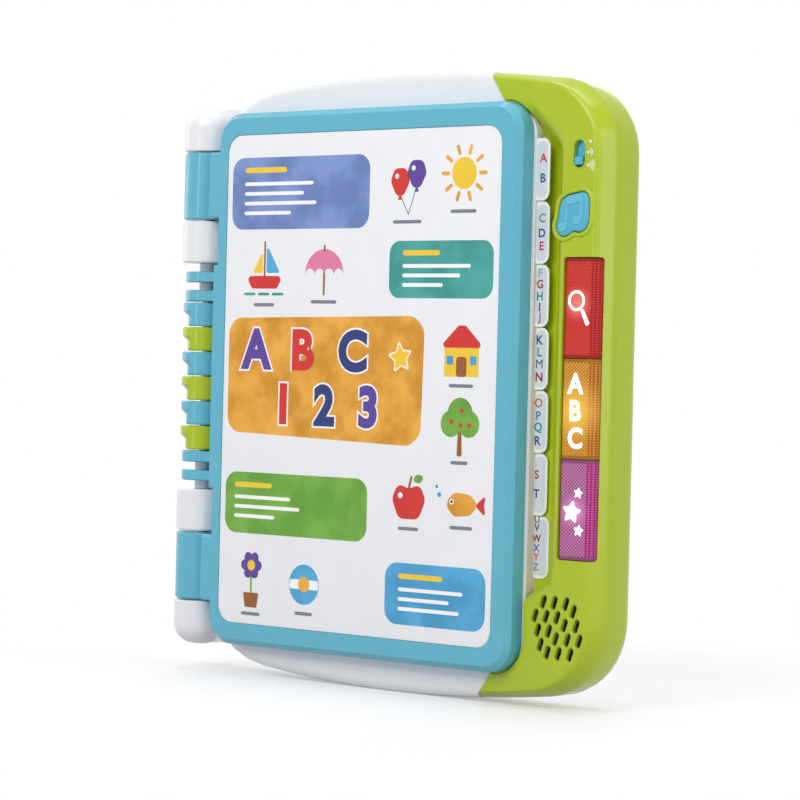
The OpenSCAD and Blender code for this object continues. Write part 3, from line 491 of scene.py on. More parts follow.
@dataclass(frozen=True)
class PrintedCard(Finish):
    """A stiff card with a tinted frame round a grid of pale panels, and cut edges of their own colour."""

    tint: str = "F2C14E"
    cut: str = "F3E3C8"
    offset: float = 0.0
    inner: tuple[float, float, float, float] = (-88.4, 76.7, 26.6, 255.3)
    tab: float = 84.6
    columns: float = 24.0
    rows: float = 17.5

    def within(self, sheet: ShaderSheet, x: object, z: object) -> bpy.types.NodeSocket:
        """Finds the page's inner field.

        Args:
            sheet: the material in the making.
            x: the object's X.
            z: the object's Z.

        Returns:
            The output that gives 1 inside the tinted frame and 0 on it.
        """
        left, right, low, high = self.inner
        blur = 0.1
        return sheet.product(sheet.span(x, (left - blur) * MM, (left + blur) * MM),
                             sheet.span(x, (right - blur) * MM, (right + blur) * MM, 1.0, 0.0),
                             sheet.span(z, (low - blur) * MM, (low + blur) * MM),
                             sheet.span(z, (high - blur) * MM, (high + blur) * MM, 1.0, 0.0))

    def panels(self, sheet: ShaderSheet, x: object, z: object) -> bpy.types.NodeSocket:
        """Draws the grid of panels, each in its own share of the tint.

        Args:
            sheet: the material in the making.
            x: the object's X.
            z: the object's Z.

        Returns:
            The output that gives the page's colour.
        """
        counts = []
        for axis, pitch, start in ((x, self.columns, self.offset), (z, self.rows, self.offset * 1.7)):
            counts.append((sheet.math("MULTIPLY", axis, pitch), start))
        across, up = [sheet.math("PINGPONG", sheet.math("ADD", count, start), 0.5) for count, start in counts]
        cell = sheet.math("MULTIPLY", sheet.span(across, 0.06, 0.075), sheet.span(up, 0.05, 0.062))
        grid = sheet.add("CombineXYZ")
        for socket, (count, start) in zip(grid.inputs, counts):
            sheet.feed(socket, sheet.math("FLOOR", sheet.math("ADD", count, start + 20)))
        chosen = sheet.add("TexWhiteNoise", noise_dimensions="2D")
        sheet.feed(chosen.inputs["Vector"], grid.outputs[0])
        pale = sheet.mix(chosen.outputs["Value"], linear(lighter(self.tint, 0.75)), linear("F7F7F2"))
        return sheet.mix(cell, linear("FAFAF6"), pale)

    def made(self) -> bpy.types.Material:
        """Builds the material.

        Returns:
            The material.
        """
        sheet = ShaderSheet(self.name)
        x, _, z = sheet.axes()
        fibre = sheet.noise(600.0, 4.0)
        face = sheet.mix(self.within(sheet, x, z), linear(lighter(self.tint, 0.25)), self.panels(sheet, x, z))
        tab = sheet.span(x, (self.tab - 0.1) * MM, (self.tab + 0.1) * MM)
        face = sheet.mix(tab, face, linear(self.colour))
        normal = sheet.add("SeparateXYZ")
        sheet.feed(normal.inputs[0], sheet.add("TexCoord").outputs["Normal"])
        edge = sheet.math("LESS_THAN", sheet.math("ABSOLUTE", normal.outputs[1]), 0.5)
        tone = sheet.mix(edge, face, linear(self.cut))
        worn = sheet.mix(sheet.math("MULTIPLY", fibre, 0.12), tone, linear("D9D4C8"))
        sheet.set(Base_Color=worn, Roughness=sheet.roughness(fibre, self.roughness, 0.0, 0.12), IOR=1.45)
        sheet.bump(fibre, 0.05, 0.0001)
        return sheet.material


@dataclass(frozen=True)
class Metal(Finish):
    """Plated or spun metal with fine turning marks."""

    stretch: tuple[float, float, float] = (900.0, 900.0, 60.0)

    def made(self) -> bpy.types.Material:
        """Builds the material.

        Returns:
            The material.
        """
        sheet = ShaderSheet(self.name)
        drawn = sheet.add("Mapping")
        sheet.feed(drawn.inputs["Vector"], sheet.coordinates())
        drawn.inputs["Scale"].default_value = self.stretch
        noise = sheet.add("TexNoise")
        sheet.feed(noise.inputs["Vector"], drawn.outputs[0])
        noise.inputs["Scale"].default_value = 1.0
        marks = noise.outputs["Fac"]
        tone = sheet.mix(marks, linear(lighter(self.colour, -0.12)), linear(lighter(self.colour, 0.08)))
        sheet.set(Base_Color=tone, Metallic=1.0, Roughness=sheet.roughness(marks, self.roughness, 0.06, 0.08))
        sheet.bump(marks, 0.06, 0.00008)
        return sheet.material


@dataclass(frozen=True)
class DullPart(Finish):
    """A dull part such as a foam ring, a paper cone, a rubber piece or a circuit board's lacquer."""

    grain_scale: float = 800.0
    grain: float = 0.25

    def made(self) -> bpy.types.Material:
        """Builds the material.

        Returns:
            The material.
        """
        sheet = ShaderSheet(self.name)
        grains = sheet.noise(self.grain_scale, 3.0)
        tone = sheet.tones(grains, self.colour, 0.14)
        sheet.set(Base_Color=tone, Roughness=sheet.roughness(grains, self.roughness, 0.05, 0.1))
        sheet.bump(grains, self.grain, 0.0002)
        return sheet.material


@dataclass(frozen=True)
class CellJacket(Finish):
    """A dry cell's printed jacket: a dark sleeve with a coppery band at its button end."""

    band: float = 79.0

    def made(self) -> bpy.types.Material:
        """Builds the material.

        Returns:
            The material.
        """
        sheet = ShaderSheet(self.name)
        _, _, z = sheet.axes()
        fine = sheet.noise(500.0, 2.0)
        band = sheet.span(z, (self.band - 0.2) * MM, self.band * MM)
        tone = sheet.mix(band, linear(self.colour), linear("C98A3F"))
        tone = sheet.mix(sheet.math("MULTIPLY", fine, 0.15), tone, linear("8A8A88"))
        sheet.set(Base_Color=tone, Metallic=0.4, Roughness=sheet.span(fine, 0.2, 0.8, 0.22, 0.34), IOR=1.5)
        sheet.bump(fine, 0.03, 0.0001)
        return sheet.material


WHITE = MouldedPlastic("white_plastic", "EFEFF2", 0.28)
BLUE = MouldedPlastic("blue_plastic", "62B8D0", 0.17, edge=0.7)
LIME = MouldedPlastic("lime_plastic", "B1C51A", 0.2)
TEAL = MouldedPlastic("teal_plastic", "52B4D2", 0.2)
# A lighter copy of the teal for the raised notes: painted highlight.
TEAL_PAINTED_HIGHLIGHT = MouldedPlastic("teal_painted_highlight", "66BFDA", 0.2)
# The emission of the pale prints and of the key symbols is painted glow.
ICON_WHITE = MouldedPlastic("pale_print", "F4F8EC", 0.4, glow=0.12)
LIT_WHITE = MouldedPlastic("lit_print", "FFFFFF", 0.3, glow=0.85)
STEEL = Metal("plated_steel", "B9BDC2", 0.28)
BASKET = Metal("basket_steel", "7F8388", 0.42)
BOARD = DullPart("board_lacquer", "1E6B3C", 0.35, grain=0.08)
BLACK = DullPart("black_part", "2A2A2C", 0.45, grain=0.1)
FOAM = DullPart("foam_ring", "3B3B3B", 0.85, 1500.0, 0.6)
CONE = DullPart("paper_cone", "2B2B2E", 0.7, 900.0, 0.4)
LAMP = MouldedPlastic("lamp_resin", "FFF3C4", 0.2, glow=0.3)
FILM = MouldedPlastic("touch_film", "C9D2D6", 0.2)
RED_LEAD = DullPart("red_lead", "B02A2A", 0.4, grain=0.05)
BLACK_LEAD = DullPart("black_lead", "222222", 0.4, grain=0.05)
JACKET = CellJacket("cell_jacket", "2E3136")


# Shapes


@dataclass(frozen=True)
class Arc:
    """One round corner or long curve of an outline in the front view, with its angles in degrees."""

    x: float
    z: float
    radius: float
    start: float
    end: float
    steps: int = 12

    def drawn_in(self, amount: float) -> "Arc":
        """Returns the same arc with its outline moved inwards."""
        inward = amount if self.end > self.start else -amount
        return Arc(self.x, self.z, max(self.radius - inward, 0.02), self.start, self.end, self.steps)

    def point(self, degrees: float, depth: float) -> Vector:
        """Returns the point on the arc at an angle."""
        turn = math.radians(degrees)
        return spot(self.x + self.radius * math.cos(turn), depth, self.z + self.radius * math.sin(turn))


Outline = Sequence[Arc]


def rounded(x0: float, x1: float, z0: float, z1: float, radius: float, steps: int = 8) -> Outline:
    """Draws a rectangle with round corners.

    Args:
        x0: its left side.
        x1: its right side.
        z0: its lower side.
        z1: its upper side.
        radius: the corners' radius.
        steps: steps in each corner.

    Returns:
        The outline.
    """
    right, left, low, high = x1 - radius, x0 + radius, z0 + radius, z1 - radius
    return (Arc(right, low, radius, -90, 0, steps), Arc(right, high, radius, 0, 90, steps),
            Arc(left, high, radius, 90, 180, steps), Arc(left, low, radius, 180, 270, steps))


def drawn_in(outline: Outline, amount: float) -> Outline:
    """Returns an outline moved inwards all round."""
    return tuple(a.drawn_in(amount) for a in outline)


class Blank:
    """A piece in the making, in millimetres."""

    def __init__(self) -> None:
        """Starts an empty piece."""
        self.bm = bmesh.new()
        self.painted = self.bm.faces.layers.int.new("painted")

    def paint(self, index: int) -> None:
        """Gives the faces made since the last call a place among the material slots.

        Args:
            index: that place.
        """
        for face in self.bm.faces:
            if not face[self.painted]:
                face.material_index, face[self.painted] = index, 1

    def loop(self, outline: Outline, depth: float) -> list[bmesh.types.BMEdge]:
        """Draws a closed outline at a depth, one spin for each arc.

        Args:
            outline: the arcs in order, joined by straight runs.
            depth: the depth of the outline's plane.

        Returns:
            The new edges.
        """
        before = set(self.bm.edges)
        start = last = self.bm.verts.new(outline[0].point(outline[0].start, depth))
        for arc in outline:
            corner = arc.point(arc.start, depth)
            if (corner - last.co).length > 1e-4:
                run = self.bm.verts.new(corner)
                self.bm.edges.new((last, run))
                last = run
            angle = math.radians(arc.end - arc.start)
            made = bmesh.ops.spin(self.bm, geom=[last], cent=spot(arc.x, depth, arc.z), axis=(0, -1, 0),
                                  angle=angle, steps=arc.steps, use_duplicate=False)
            last = made["geom_last"][0]
        if (last.co - start.co).length > 1e-3:
            self.bm.edges.new((last, start))
        else:
            bmesh.ops.weld_verts(self.bm, targetmap={last: start})
        return [e for e in self.bm.edges if e not in before]

    def loft(self, sections: Sequence[tuple[Outline, float]],
             closed: bool = True) -> list[list[bmesh.types.BMEdge]]:
        """Joins outlines at their depths into one skin.

        Args:
            sections: each outline with its depth, in order.
            closed: whether the first and last outlines are filled.

        Returns:
            The edges of each outline.
        """
        loops = [self.loop(outline, depth) for outline, depth in sections]
        for first, second in zip(loops, loops[1:]):
            bmesh.ops.bridge_loops(self.bm, edges=first + second)
        if closed:
            for ends in (loops[0], loops[-1]):
                bmesh.ops.edgeloop_fill(self.bm, edges=ends)
        return loops

    def plate(self, outline: Outline, front: float, back: float, soft: float = 0.0) -> None:
        """Makes a plate between two depths, with a rounded front edge if soft is above 0.

        Args:
            outline: the plate's outline.
            front: depth of its front face.
            back: depth of its back face.
            soft: radius of the front edge.
        """
        curve = [(front, 0.0)]
        if soft:
            turns = [math.radians(90 - 90 * i / 4) for i in range(5)]
            curve = [(front + soft * (1 - math.sin(turn)), soft * (1 - math.cos(turn))) for turn in turns]
        self.loft([(drawn_in(outline, inward), depth) for depth, inward in curve] + [(outline, back)])

    def block(self, low: Vector, high: Vector, soft: float = 0.0) -> None:
        """Makes a block between two corners.

        Args:
            low: the corner where all three sizes are least.
            high: the corner where they are greatest.
            soft: radius of its edges, or 0 for sharp ones.
        """
        size, middle = high - low, (high + low) / 2
        place = Matrix.Translation(middle) @ Matrix.Diagonal((*size, 1.0))
        made = bmesh.ops.create_cube(self.bm, size=1.0, matrix=place)
        if soft:
            edges = list({e for v in made["verts"] for e in v.link_edges})
            bmesh.ops.bevel(self.bm, geom=edges, offset=soft, offset_type="OFFSET", segments=3, profile=0.5,
                            affect="EDGES", material=-1)

    def turned(self, profile: Sequence[tuple[float, float]], place: Matrix,
               steps: int = 64) -> list[bmesh.types.BMVert]:
        """Turns a profile of (radius, height) about the Z axis of a place.

        Args:
            profile: the points from one end to the other.
            place: where the turned shape's own origin and Z axis go.
            steps: faces round the shape.

        Returns:
            The new vertices.
        """
        before = set(self.bm.verts)
        chain = [self.bm.verts.new((radius, 0.0, height)) for radius, height in profile]
        edges = [self.bm.edges.new(pair) for pair in zip(chain, chain[1:])]
        bmesh.ops.spin(self.bm, geom=chain + edges, cent=(0, 0, 0), axis=(0, 0, 1), angle=math.tau,
                       steps=steps, use_merge=True, use_duplicate=False)
        made = [v for v in self.bm.verts if v not in before]
        bmesh.ops.remove_doubles(self.bm, verts=made, dist=1e-5)
        made = [v for v in made if v.is_valid]
        bmesh.ops.transform(self.bm, matrix=place, verts=made)
        return made

    def absorb(self, mesh: bpy.types.Mesh) -> None:
        """Adds a mesh that is in millimetres."""
        self.bm.from_mesh(mesh)
        self.painted = self.bm.faces.layers.int["painted"]

    def holed(self, *cutters: "Blank") -> "Blank":
        """Cuts other blanks out of this one, one after the other.

        Args:
            cutters: the blanks to cut out.

        Returns:
            What is left, as a new blank.
        """
        body = self.loose("body")
        for cutter in cutters:
            tool = cutter.loose("tool")
            cut = body.modifiers.new("cut", "BOOLEAN")
            cut.object, cut.operation, cut.solver = tool, "DIFFERENCE", "EXACT"
            graph = bpy.context.evaluated_depsgraph_get()
            mesh = bpy.data.meshes.new_from_object(body.evaluated_get(graph))
            body.modifiers.clear()
            old, body.data = body.data, mesh
            bpy.data.meshes.remove(old)
            bpy.data.meshes.remove(tool.data)
        result = Blank()
        result.absorb(body.data)
        bpy.data.meshes.remove(body.data)
        return result

    def loose(self, name: str) -> bpy.types.Object:
        """Puts the blank in the scene as it is, in millimetres, for a cut.

        Args:
            name: the object's name.

        Returns:
            The object.
        """
        bmesh.ops.recalc_face_normals(self.bm, faces=self.bm.faces)
        mesh = bpy.data.meshes.new(name)
        self.bm.to_mesh(mesh)
        self.bm.free()
        piece = bpy.data.objects.new(name, mesh)
        bpy.context.scene.collection.objects.link(piece)
        return piece

    def finish(self, name: str, body: str, finishes: Finish | Sequence[Finish], slot: str,
               replaces: Sequence[str] = (), crease: float = CREASE, weighted: bool = False,
               outward: bool = True) -> bpy.types.Object:
        """Turns the blank to metres and sets it on its body.

        Args:
            name: the piece's name.
            body: the body it rides on.
            finishes: its finish, or one for each material index of its faces.
            slot: the record's material slot; not used.
            replaces: the CAD nodes that it stands for.
            crease: the angle in degrees above which an edge stays sharp.
            weighted: whether large faces rule the shading.
            outward: whether the normals are worked out afresh.

        Returns:
            The finished piece.
        """
        bm = self.bm
        bmesh.ops.scale(bm, vec=(MM, MM, MM), verts=bm.verts)
        if outward:
            bmesh.ops.recalc_face_normals(bm, faces=bm.faces)
        for face in bm.faces:
            face.smooth = True
        for edge in bm.edges:
            if edge.is_manifold and edge.calc_face_angle(0.0) > math.radians(crease):
                edge.smooth = False
        bm.faces.layers.int.remove(self.painted)
        mesh = bpy.data.meshes.new(name)
        bm.to_mesh(mesh)
        bm.free()
        piece = bpy.data.objects.new(name, mesh)
        bpy.context.scene.collection.objects.link(piece)
        for finish in [finishes] if isinstance(finishes, Finish) else finishes:
            mesh.materials.append(finish.material())
        if weighted:
            shading = piece.modifiers.new("face_weighted_normals", "WEIGHTED_NORMAL")
            shading.keep_sharp, shading.weight = True, 80
        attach(piece, body)
        if replaces:
            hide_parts(*replaces)
        LOG.info("%s on %s: %d faces", name, body, len(mesh.polygons))
        return piece


def text_mesh(words: str, size: float, bold: float, depth: float, thickness: float, x: float, z: float,
              lean: float = 0.0) -> bpy.types.Mesh:
    """Makes lettering as a solid mesh in millimetres, its face towards the front.

    Args:
        words: what it says.
        size: the font size.
        bold: how much the strokes grow.
        depth: depth of its face.
        thickness: how thick it is.
        x: middle, across.
        z: middle, up.
        lean: turn in degrees, against the clock.

    Returns:
        The mesh.
    """
    curve = bpy.data.curves.new("words", "FONT")
    curve.body, curve.size, curve.offset = words, size, bold
    curve.align_x, curve.align_y = "CENTER", "CENTER"
    curve.extrude = thickness / 2
    curve.resolution_u = 6
    holder = bpy.data.objects.new("words", curve)
    bpy.context.scene.collection.objects.link(holder)
    graph = bpy.context.evaluated_depsgraph_get()
    mesh = bpy.data.meshes.new_from_object(holder.evaluated_get(graph))
    bpy.data.objects.remove(holder)
    bpy.data.curves.remove(curve)
    low = [min(v.co[i] for v in mesh.vertices) for i in (0, 1)]
    high = [max(v.co[i] for v in mesh.vertices) for i in (0, 1)]
    centred = Matrix.Translation((-(low[0] + high[0]) / 2, -(low[1] + high[1]) / 2, 0))
    upright = Matrix.Rotation(math.pi / 2, 4, "X") @ Matrix.Rotation(math.radians(lean), 4, "Z")
    mesh.transform(Matrix.Translation(spot(x, depth + thickness / 2, z)) @ upright @ centred)
    return mesh


def smooth_step(value: float, low: float, high: float) -> float:
    """Returns how far a value has gone from low to high, from 0 to 1, easing in and out."""
    share = min(1.0, max(0.0, (value - low) / (high - low)))
    return share * share * (3 - 2 * share)


def soft_most(first: float, second: float, blend: float) -> float:
    """Returns the larger of two values, rounded off where they are within blend of each other."""
    near = max(blend - abs(first - second), 0.0) / blend
    return max(first, second) + near * near * blend / 4


def soft_least(first: float, second: float, blend: float) -> float:
    """Returns the smaller of two values, rounded off where they are within blend of each other."""
    return -soft_most(-first, -second, blend)


def circle(x: float, z: float, radius: float, steps: int = 32) -> Outline:
    """Returns a circle's outline."""
    return (Arc(x, z, radius, 0, 360, steps),)


def cornered(points: Sequence[tuple[float, float]], radius: float, steps: int = 4) -> Outline:
    """Rounds the corners of a polygon.

    Args:
        points: its corners, against the clock.
        radius: the corners' radius, made less where the sides are short.
        steps: steps in each corner.

    Returns:
        The outline.
    """
    arcs: list[Arc] = []
    for i, point in enumerate(points):
        here, before, after = Vector(point), Vector(points[i - 1]), Vector(points[(i + 1) % len(points)])
        come, go = here - before, after - here
        turn = math.atan2(come.x * go.y - come.y * go.x, come.dot(go))
        if abs(turn) < 1e-3:
            continue
        slack = math.tan(abs(turn) / 2)
        size = min(radius, 0.48 * min(come.length, go.length) / slack)
        tangent = here - come.normalized() * size * slack
        side = math.copysign(1.0, turn)
        centre = tangent + Vector((-come.y, come.x)).normalized() * side * size
        start = math.degrees(math.atan2(tangent.y - centre.y, tangent.x - centre.x))
        arcs.append(Arc(centre.x, centre.y, size, start, start + math.degrees(turn), steps))
    return tuple(arcs)


def stick(x0: float, z0: float, x1: float, z1: float, width: float, end: float | None = None) -> Outline:
    """Draws a rod between two points, with round ends.

    Args:
        x0: its start, across.
        z0: its start, up.
        x1: its end, across.
        z1: its end, up.
        width: how wide it is.
        end: how wide its end is, where that differs.

    Returns:
        The outline.
    """
    along = Vector((x1 - x0, z1 - z0)).normalized()
    side = Vector((along.y, -along.x))
    first, last = width / 2, (end if end is not None else width) / 2
    a, b = Vector((x0, z0)) - along * first, Vector((x1, z1)) + along * last
    corners = [a + side * first, b + side * last, b - side * last, a - side * first]
    return cornered([(c.x, c.y) for c in corners], min(first, last) * 0.96, 5)


def star(x: float, z: float, radius: float, points: int = 5, depth: float = 0.48,
         lean: float = 0.0) -> Outline:
    """Draws a star with soft corners.

    Args:
        x: its middle, across.
        z: its middle, up.
        radius: how far its points reach.
        points: how many it has.
        depth: share of the radius that its inner corners keep.
        lean: turn in degrees, against the clock.

    Returns:
        The outline.
    """
    corners = []
    for i in range(2 * points):
        turn = math.radians(90 + lean + 180 * i / points)
        reach = radius if i % 2 == 0 else radius * depth
        corners.append((x + reach * math.cos(turn), z + reach * math.sin(turn)))
    return cornered(corners, radius * 0.09, 3)


CASE_OUTLINE: Outline = (
    Arc(94.2, 39.743, 35, -82.907, 0, 28),
    Arc(94.2, 243.757, 35, 0, 82.907, 28),
    Arc(9.6, -436.157, 720.157, 82.907, 96.426, 24),
    Arc(-65.4, 229.790, 50, 96.426, 180, 30),
    Arc(-65.4, 53.710, 50, 180, 263.574, 30),
    Arc(9.6, 719.657, 720.157, 263.574, 277.093, 24),
)
MUSIC_X, MUSIC_Z = 112.6, 217.4
MUSIC_CORNERS = (
    (9.25, -3.3), (9.4, 5.8), (8.2, 8.6), (5.4, 9.8), (-2.6, 8.35), (-6, 6.5), (-7.15, 4), (-7.9, -1),
    (-9.25, -5.5), (-8.2, -8.8), (-4.6, -10.5), (-1.3, -9), (0.2, -8), (1.6, -7.9), (4, -8.5), (7.9, -6.8))
MUSIC_OUTLINE = cornered([(MUSIC_X + x, MUSIC_Z + z) for x, z in MUSIC_CORNERS], 4.0, 5)


# Sub-assemblies


def slots_of(frame: dict) -> dict[str, str]:
    """Returns each CAD node's material slot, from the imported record."""
    return {part["node"]: part["material_slot"] for part in frame["record"]["subparts"]}


def smooth_copy(frame: dict, node: str) -> Blank:
    """Copies a CAD node into a blank, with its loose triangles merged.

    Args:
        node: the CAD node's name.

    Returns:
        The blank, in millimetres.
    """
    mesh = frame["nodes"][node].data.copy()
    mesh.transform(Matrix.Scale(1 / MM, 4))
    blank = Blank()
    blank.absorb(mesh)
    bpy.data.meshes.remove(mesh)
    bmesh.ops.remove_doubles(blank.bm, verts=blank.bm.verts, dist=0.003)
    bmesh.ops.dissolve_degenerate(blank.bm, edges=blank.bm.edges, dist=0.002)
    return blank


def behind(frame: dict, node: str, depth: float) -> Blank:
    """Copies what a CAD node has behind a depth, for a piece with a new front.

    Args:
        node: the CAD node's name.
        depth: where the copy starts.

    Returns:
        The blank, open at that depth.
    """
    back = smooth_copy(frame, node)
    bmesh.ops.bisect_plane(back.bm, geom=back.bm.verts[:] + back.bm.edges[:] + back.bm.faces[:],
                           plane_co=(0, depth - HALF_T, 0), plane_no=(0, 1, 0), clear_inner=True)
    return back


@dataclass
class Mouldings:
    """The plain moulded parts: each is its CAD solid again, with smooth curves and soft edges."""

    finishes: dict[str, Finish]
    name_end: str = "_moulding"

    def build(self, frame: dict) -> None:
        """Makes a smooth copy of each part and hides the CAD node behind it.
        """
        slots = slots_of(frame)
        for node, finish in self.finishes.items():
            body = frame["nodes"][node]["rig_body"]
            smooth_copy(frame, node).finish(node + self.name_end, body, finish, slots[node], [node],
                                            weighted=True)


@dataclass
class BatteryDoor:
    """The battery door, with its finger grooves and its arrow sunk in the back face."""

    x: float = 12.0
    low: float = 30.0
    back_d: float = 36.0
    sink: float = 0.5
    grooves: int = 4
    pitch: float = 3.4
    half_w: float = 9.0
    half_h: float = 0.65

    def build(self, frame: dict) -> None:
        """Makes the door again with its grooves.
        """
        cutter = Blank()
        depths = (self.back_d - self.sink, self.back_d + 2)
        left, right = self.x - self.half_w, self.x + self.half_w
        for i in range(self.grooves):
            z = self.low + self.pitch * i
            groove = rounded(left, right, z - self.half_h, z + self.half_h, self.half_h - 0.01, 6)
            cutter.plate(groove, *depths)
        arrow = [(self.x - 4.2, self.low + 20.5), (self.x, self.low + 14.5), (self.x + 4.2, self.low + 20.5)]
        cutter.plate(cornered(arrow, 0.7), *depths)
        smooth_copy(frame, "battery_door").holed(cutter).finish(
            "battery_door_moulding", "battery_hatch", WHITE, "white_shell", ["battery_door"])


@dataclass
class Workings:
    """The parts that keep their CAD solids, such as the boards, the speaker, the cells and the screws."""

    finishes: dict[str, Finish]

    def dress(self, frame: dict) -> None:
        """Gives each CAD node its finish.
        """
        for node, finish in self.finishes.items():
            mesh = frame["nodes"][node].data
            mesh.materials.clear()
            mesh.materials.append(finish.material())
            LOG.info("%s keeps its solid, in %s", node, finish.name)


class Ink(Enum):
    """The colours of the printed panel, in the order of its material slots."""

    WHITE = "F4F5F8"
    ORANGE = "F2A72E"
    PERIWINKLE = "7590CF"
    TEAL = "3FA39B"
    GREEN = "6FAE3A"
    SKY = "4BA9DC"
    PURPLE = "5F459B"
    RED = "D8352F"
    YELLOW = "F7CF3B"
    BROWN = "9A5E33"
    GREY = "7B828C"
    NAVY = "2B3A78"
    PINK = "E97FA6"
    PALE = "FFFFFF"

    @property
    def index(self) -> int:
        """Returns the colour's place among the material slots."""
        return list(Ink).index(self)

    def finish(self) -> Finish:
        """Returns the printing ink of this colour."""
        washes = {Ink.ORANGE: 0.13, Ink.PERIWINKLE: 0.1, Ink.TEAL: 0.08, Ink.GREEN: 0.08, Ink.SKY: 0.08}
        return PrintInk(f"ink_{self.name.lower()}", self.value, 0.3, washes.get(self, 0.008), 55.0)


@dataclass
class PrintedPanel:
    """The cover's printed panel: a laminated white sheet with a generic design in thin layers of ink."""

    x0: float = -91.25
    x1: float = 76.25
    z0: float = 25.1
    z1: float = 256.8
    radius: float = 8.4
    face_d: float = 0.3
    back_d: float = 0.7
    layer: float = 0.035
    margin: float = 3.2
    title_size: float = 25.0
    sheet: Blank | None = None

    def ink(self, outline: Outline, colour: Ink, level: float = 1) -> None:
        """Prints one shape.

        Args:
            outline: its outline.
            colour: its ink.
            level: how many layers it lies above the sheet.
        """
        self.sheet.plate(outline, self.face_d - self.layer * level, self.face_d + 0.05)
        self.sheet.paint(colour.index)

    def shape(self, x: float, z: float, points: Sequence[tuple[float, float]], soft: float, colour: Ink,
              level: float = 1, steps: int = 4) -> None:
        """Prints a polygon with soft corners.

        Args:
            x: the picture's middle, across.
            z: the picture's middle, up.
            points: the corners, measured from that middle and against the clock.
            soft: the corners' radius.
            colour: its ink.
            level: how many layers it lies above the sheet.
            steps: steps in each corner.
        """
        self.ink(cornered([(x + dx, z + dz) for dx, dz in points], soft, steps), colour, level)

    def words(self, text: str, size: float, bold: float, colour: Ink, x: float, z: float,
              level: int = 1) -> None:
        """Prints letters or numbers.

        Args:
            text: what is printed.
            size: the font size.
            bold: how much the strokes grow.
            colour: its ink.
            x: middle, across.
            z: middle, up.
            level: how many layers it lies above the sheet.
        """
        mesh = text_mesh(text, size, bold, self.face_d - self.layer * level, self.layer, x, z)
        self.sheet.absorb(mesh)
        bpy.data.meshes.remove(mesh)
        self.sheet.paint(colour.index)

    def lines(self, x: float, z: float, lengths: Sequence[float], colour: Ink, height: float = 1.7,
              pitch: float = 4.6) -> None:
        """Prints plain bars in the place of sentences, from the top down.

        Args:
            x: where they start.
            z: middle of the first.
            lengths: how long each is.
            colour: their ink.
            height: how high each is.
            pitch: from one to the next.
        """
        half = height / 2
        for i, length in enumerate(lengths):
            middle = z - pitch * i
            self.ink(rounded(x, x + length, middle - half, middle + half, height / 2.1, 3), colour, 2)

    def caption(self, x: float, z: float, length: float) -> None:
        """Prints the short grey bar under a picture."""
        self.ink(rounded(x - length / 2, x + length / 2, z - 0.8, z + 0.8, 0.75, 3), Ink.GREY)

    def panels(self) -> None:
        """Prints the tinted fields."""
        edge, right = self.x0 + self.margin, self.x1 - self.margin
        self.ink(rounded(edge, -1, 212, 246, 7), Ink.PERIWINKLE)
        self.ink(rounded(12, right, 180, 206, 6), Ink.TEAL)
        field = ((edge, 116), (26, 113), (33, 118), (34, 166), (28, 172), (edge, 170))
        self.shape(0, 0, field, 8, Ink.ORANGE, steps=6)
        self.ink(rounded(edge, 2, 68, 97, 7), Ink.GREEN)
        self.ink(rounded(14, right, 32, 60, 7), Ink.SKY)
        self.lines(-80, 240, [27], Ink.YELLOW, height=2.6)
        self.lines(-80, 233.5, [44, 38, 46, 30], Ink.PALE)
        self.lines(20, 200.5, [22], Ink.YELLOW, height=2.4)
        self.lines(20, 194.6, [40, 34, 24], Ink.PALE, pitch=4.3)
        self.lines(-82, 91, [24], Ink.YELLOW, height=2.4)
        self.lines(-82, 85.2, [36, 42, 26], Ink.PALE, pitch=4.5)
        self.lines(22, 54, [26], Ink.YELLOW, height=2.4)
        self.lines(22, 48, [38, 30, 36], Ink.PALE, pitch=4.4)

    def title(self) -> None:
        """Prints the first letters and numbers on the orange field."""
        row_a = (("A", -70, Ink.PURPLE), ("B", -40, Ink.RED), ("C", -9, Ink.NAVY))
        row_b = (("1", -52, Ink.RED), ("2", -26, Ink.NAVY), ("3", 1, Ink.PURPLE))
        for row, z in ((row_a, 155.5), (row_b, 130.0)):
            for text, x, colour in row:
                self.words(text, self.title_size, 2.0, Ink.PALE, x, z, 2)
                self.words(text, self.title_size, 1.15, colour, x, z, 3)
        self.ink(star(20, 153, 8, 5, 0.5, 8), Ink.PALE, 2)
        self.ink(star(20, 153, 6.6, 5, 0.5, 8), Ink.YELLOW, 3)

    def sun(self, x: float, z: float) -> None:
        """Prints a sun.

        Args:
            x: its middle, across.
            z: its middle, up.
        """
        for i in range(10):
            turn = math.tau * i / 10
            c, s = math.cos(turn), math.sin(turn)
            self.ink(stick(x + 9.3 * c, z + 9.3 * s, x + 12.4 * c, z + 12.4 * s, 1.8), Ink.ORANGE)
        self.ink(circle(x, z, 7.2), Ink.YELLOW)
        self.caption(x, z - 17, 15)

    def boat(self, x: float, z: float) -> None:
        """Prints a sailing boat on three waves.

        Args:
            x: its middle, across.
            z: its middle, up.
        """
        self.shape(x, z, ((-12, -4), (-8, -10), (8, -10), (12, -4)), 2, Ink.RED)
        self.ink(stick(x, z - 4, x, z + 12, 1.1), Ink.BROWN)
        self.shape(x, z, ((1.2, -2.6), (10, -2.6), (1.2, 11)), 0.8, Ink.SKY)
        self.shape(x, z, ((-1.2, -2.6), (-1.2, 8.6), (-7.5, -2.6)), 0.8, Ink.YELLOW)
        for i in range(3):
            self.ink(rounded(x - 13 + 9 * i, x - 5.6 + 9 * i, z - 13.2, z - 11.9, 0.6, 3), Ink.TEAL)
        self.caption(x, z - 17.6, 13)

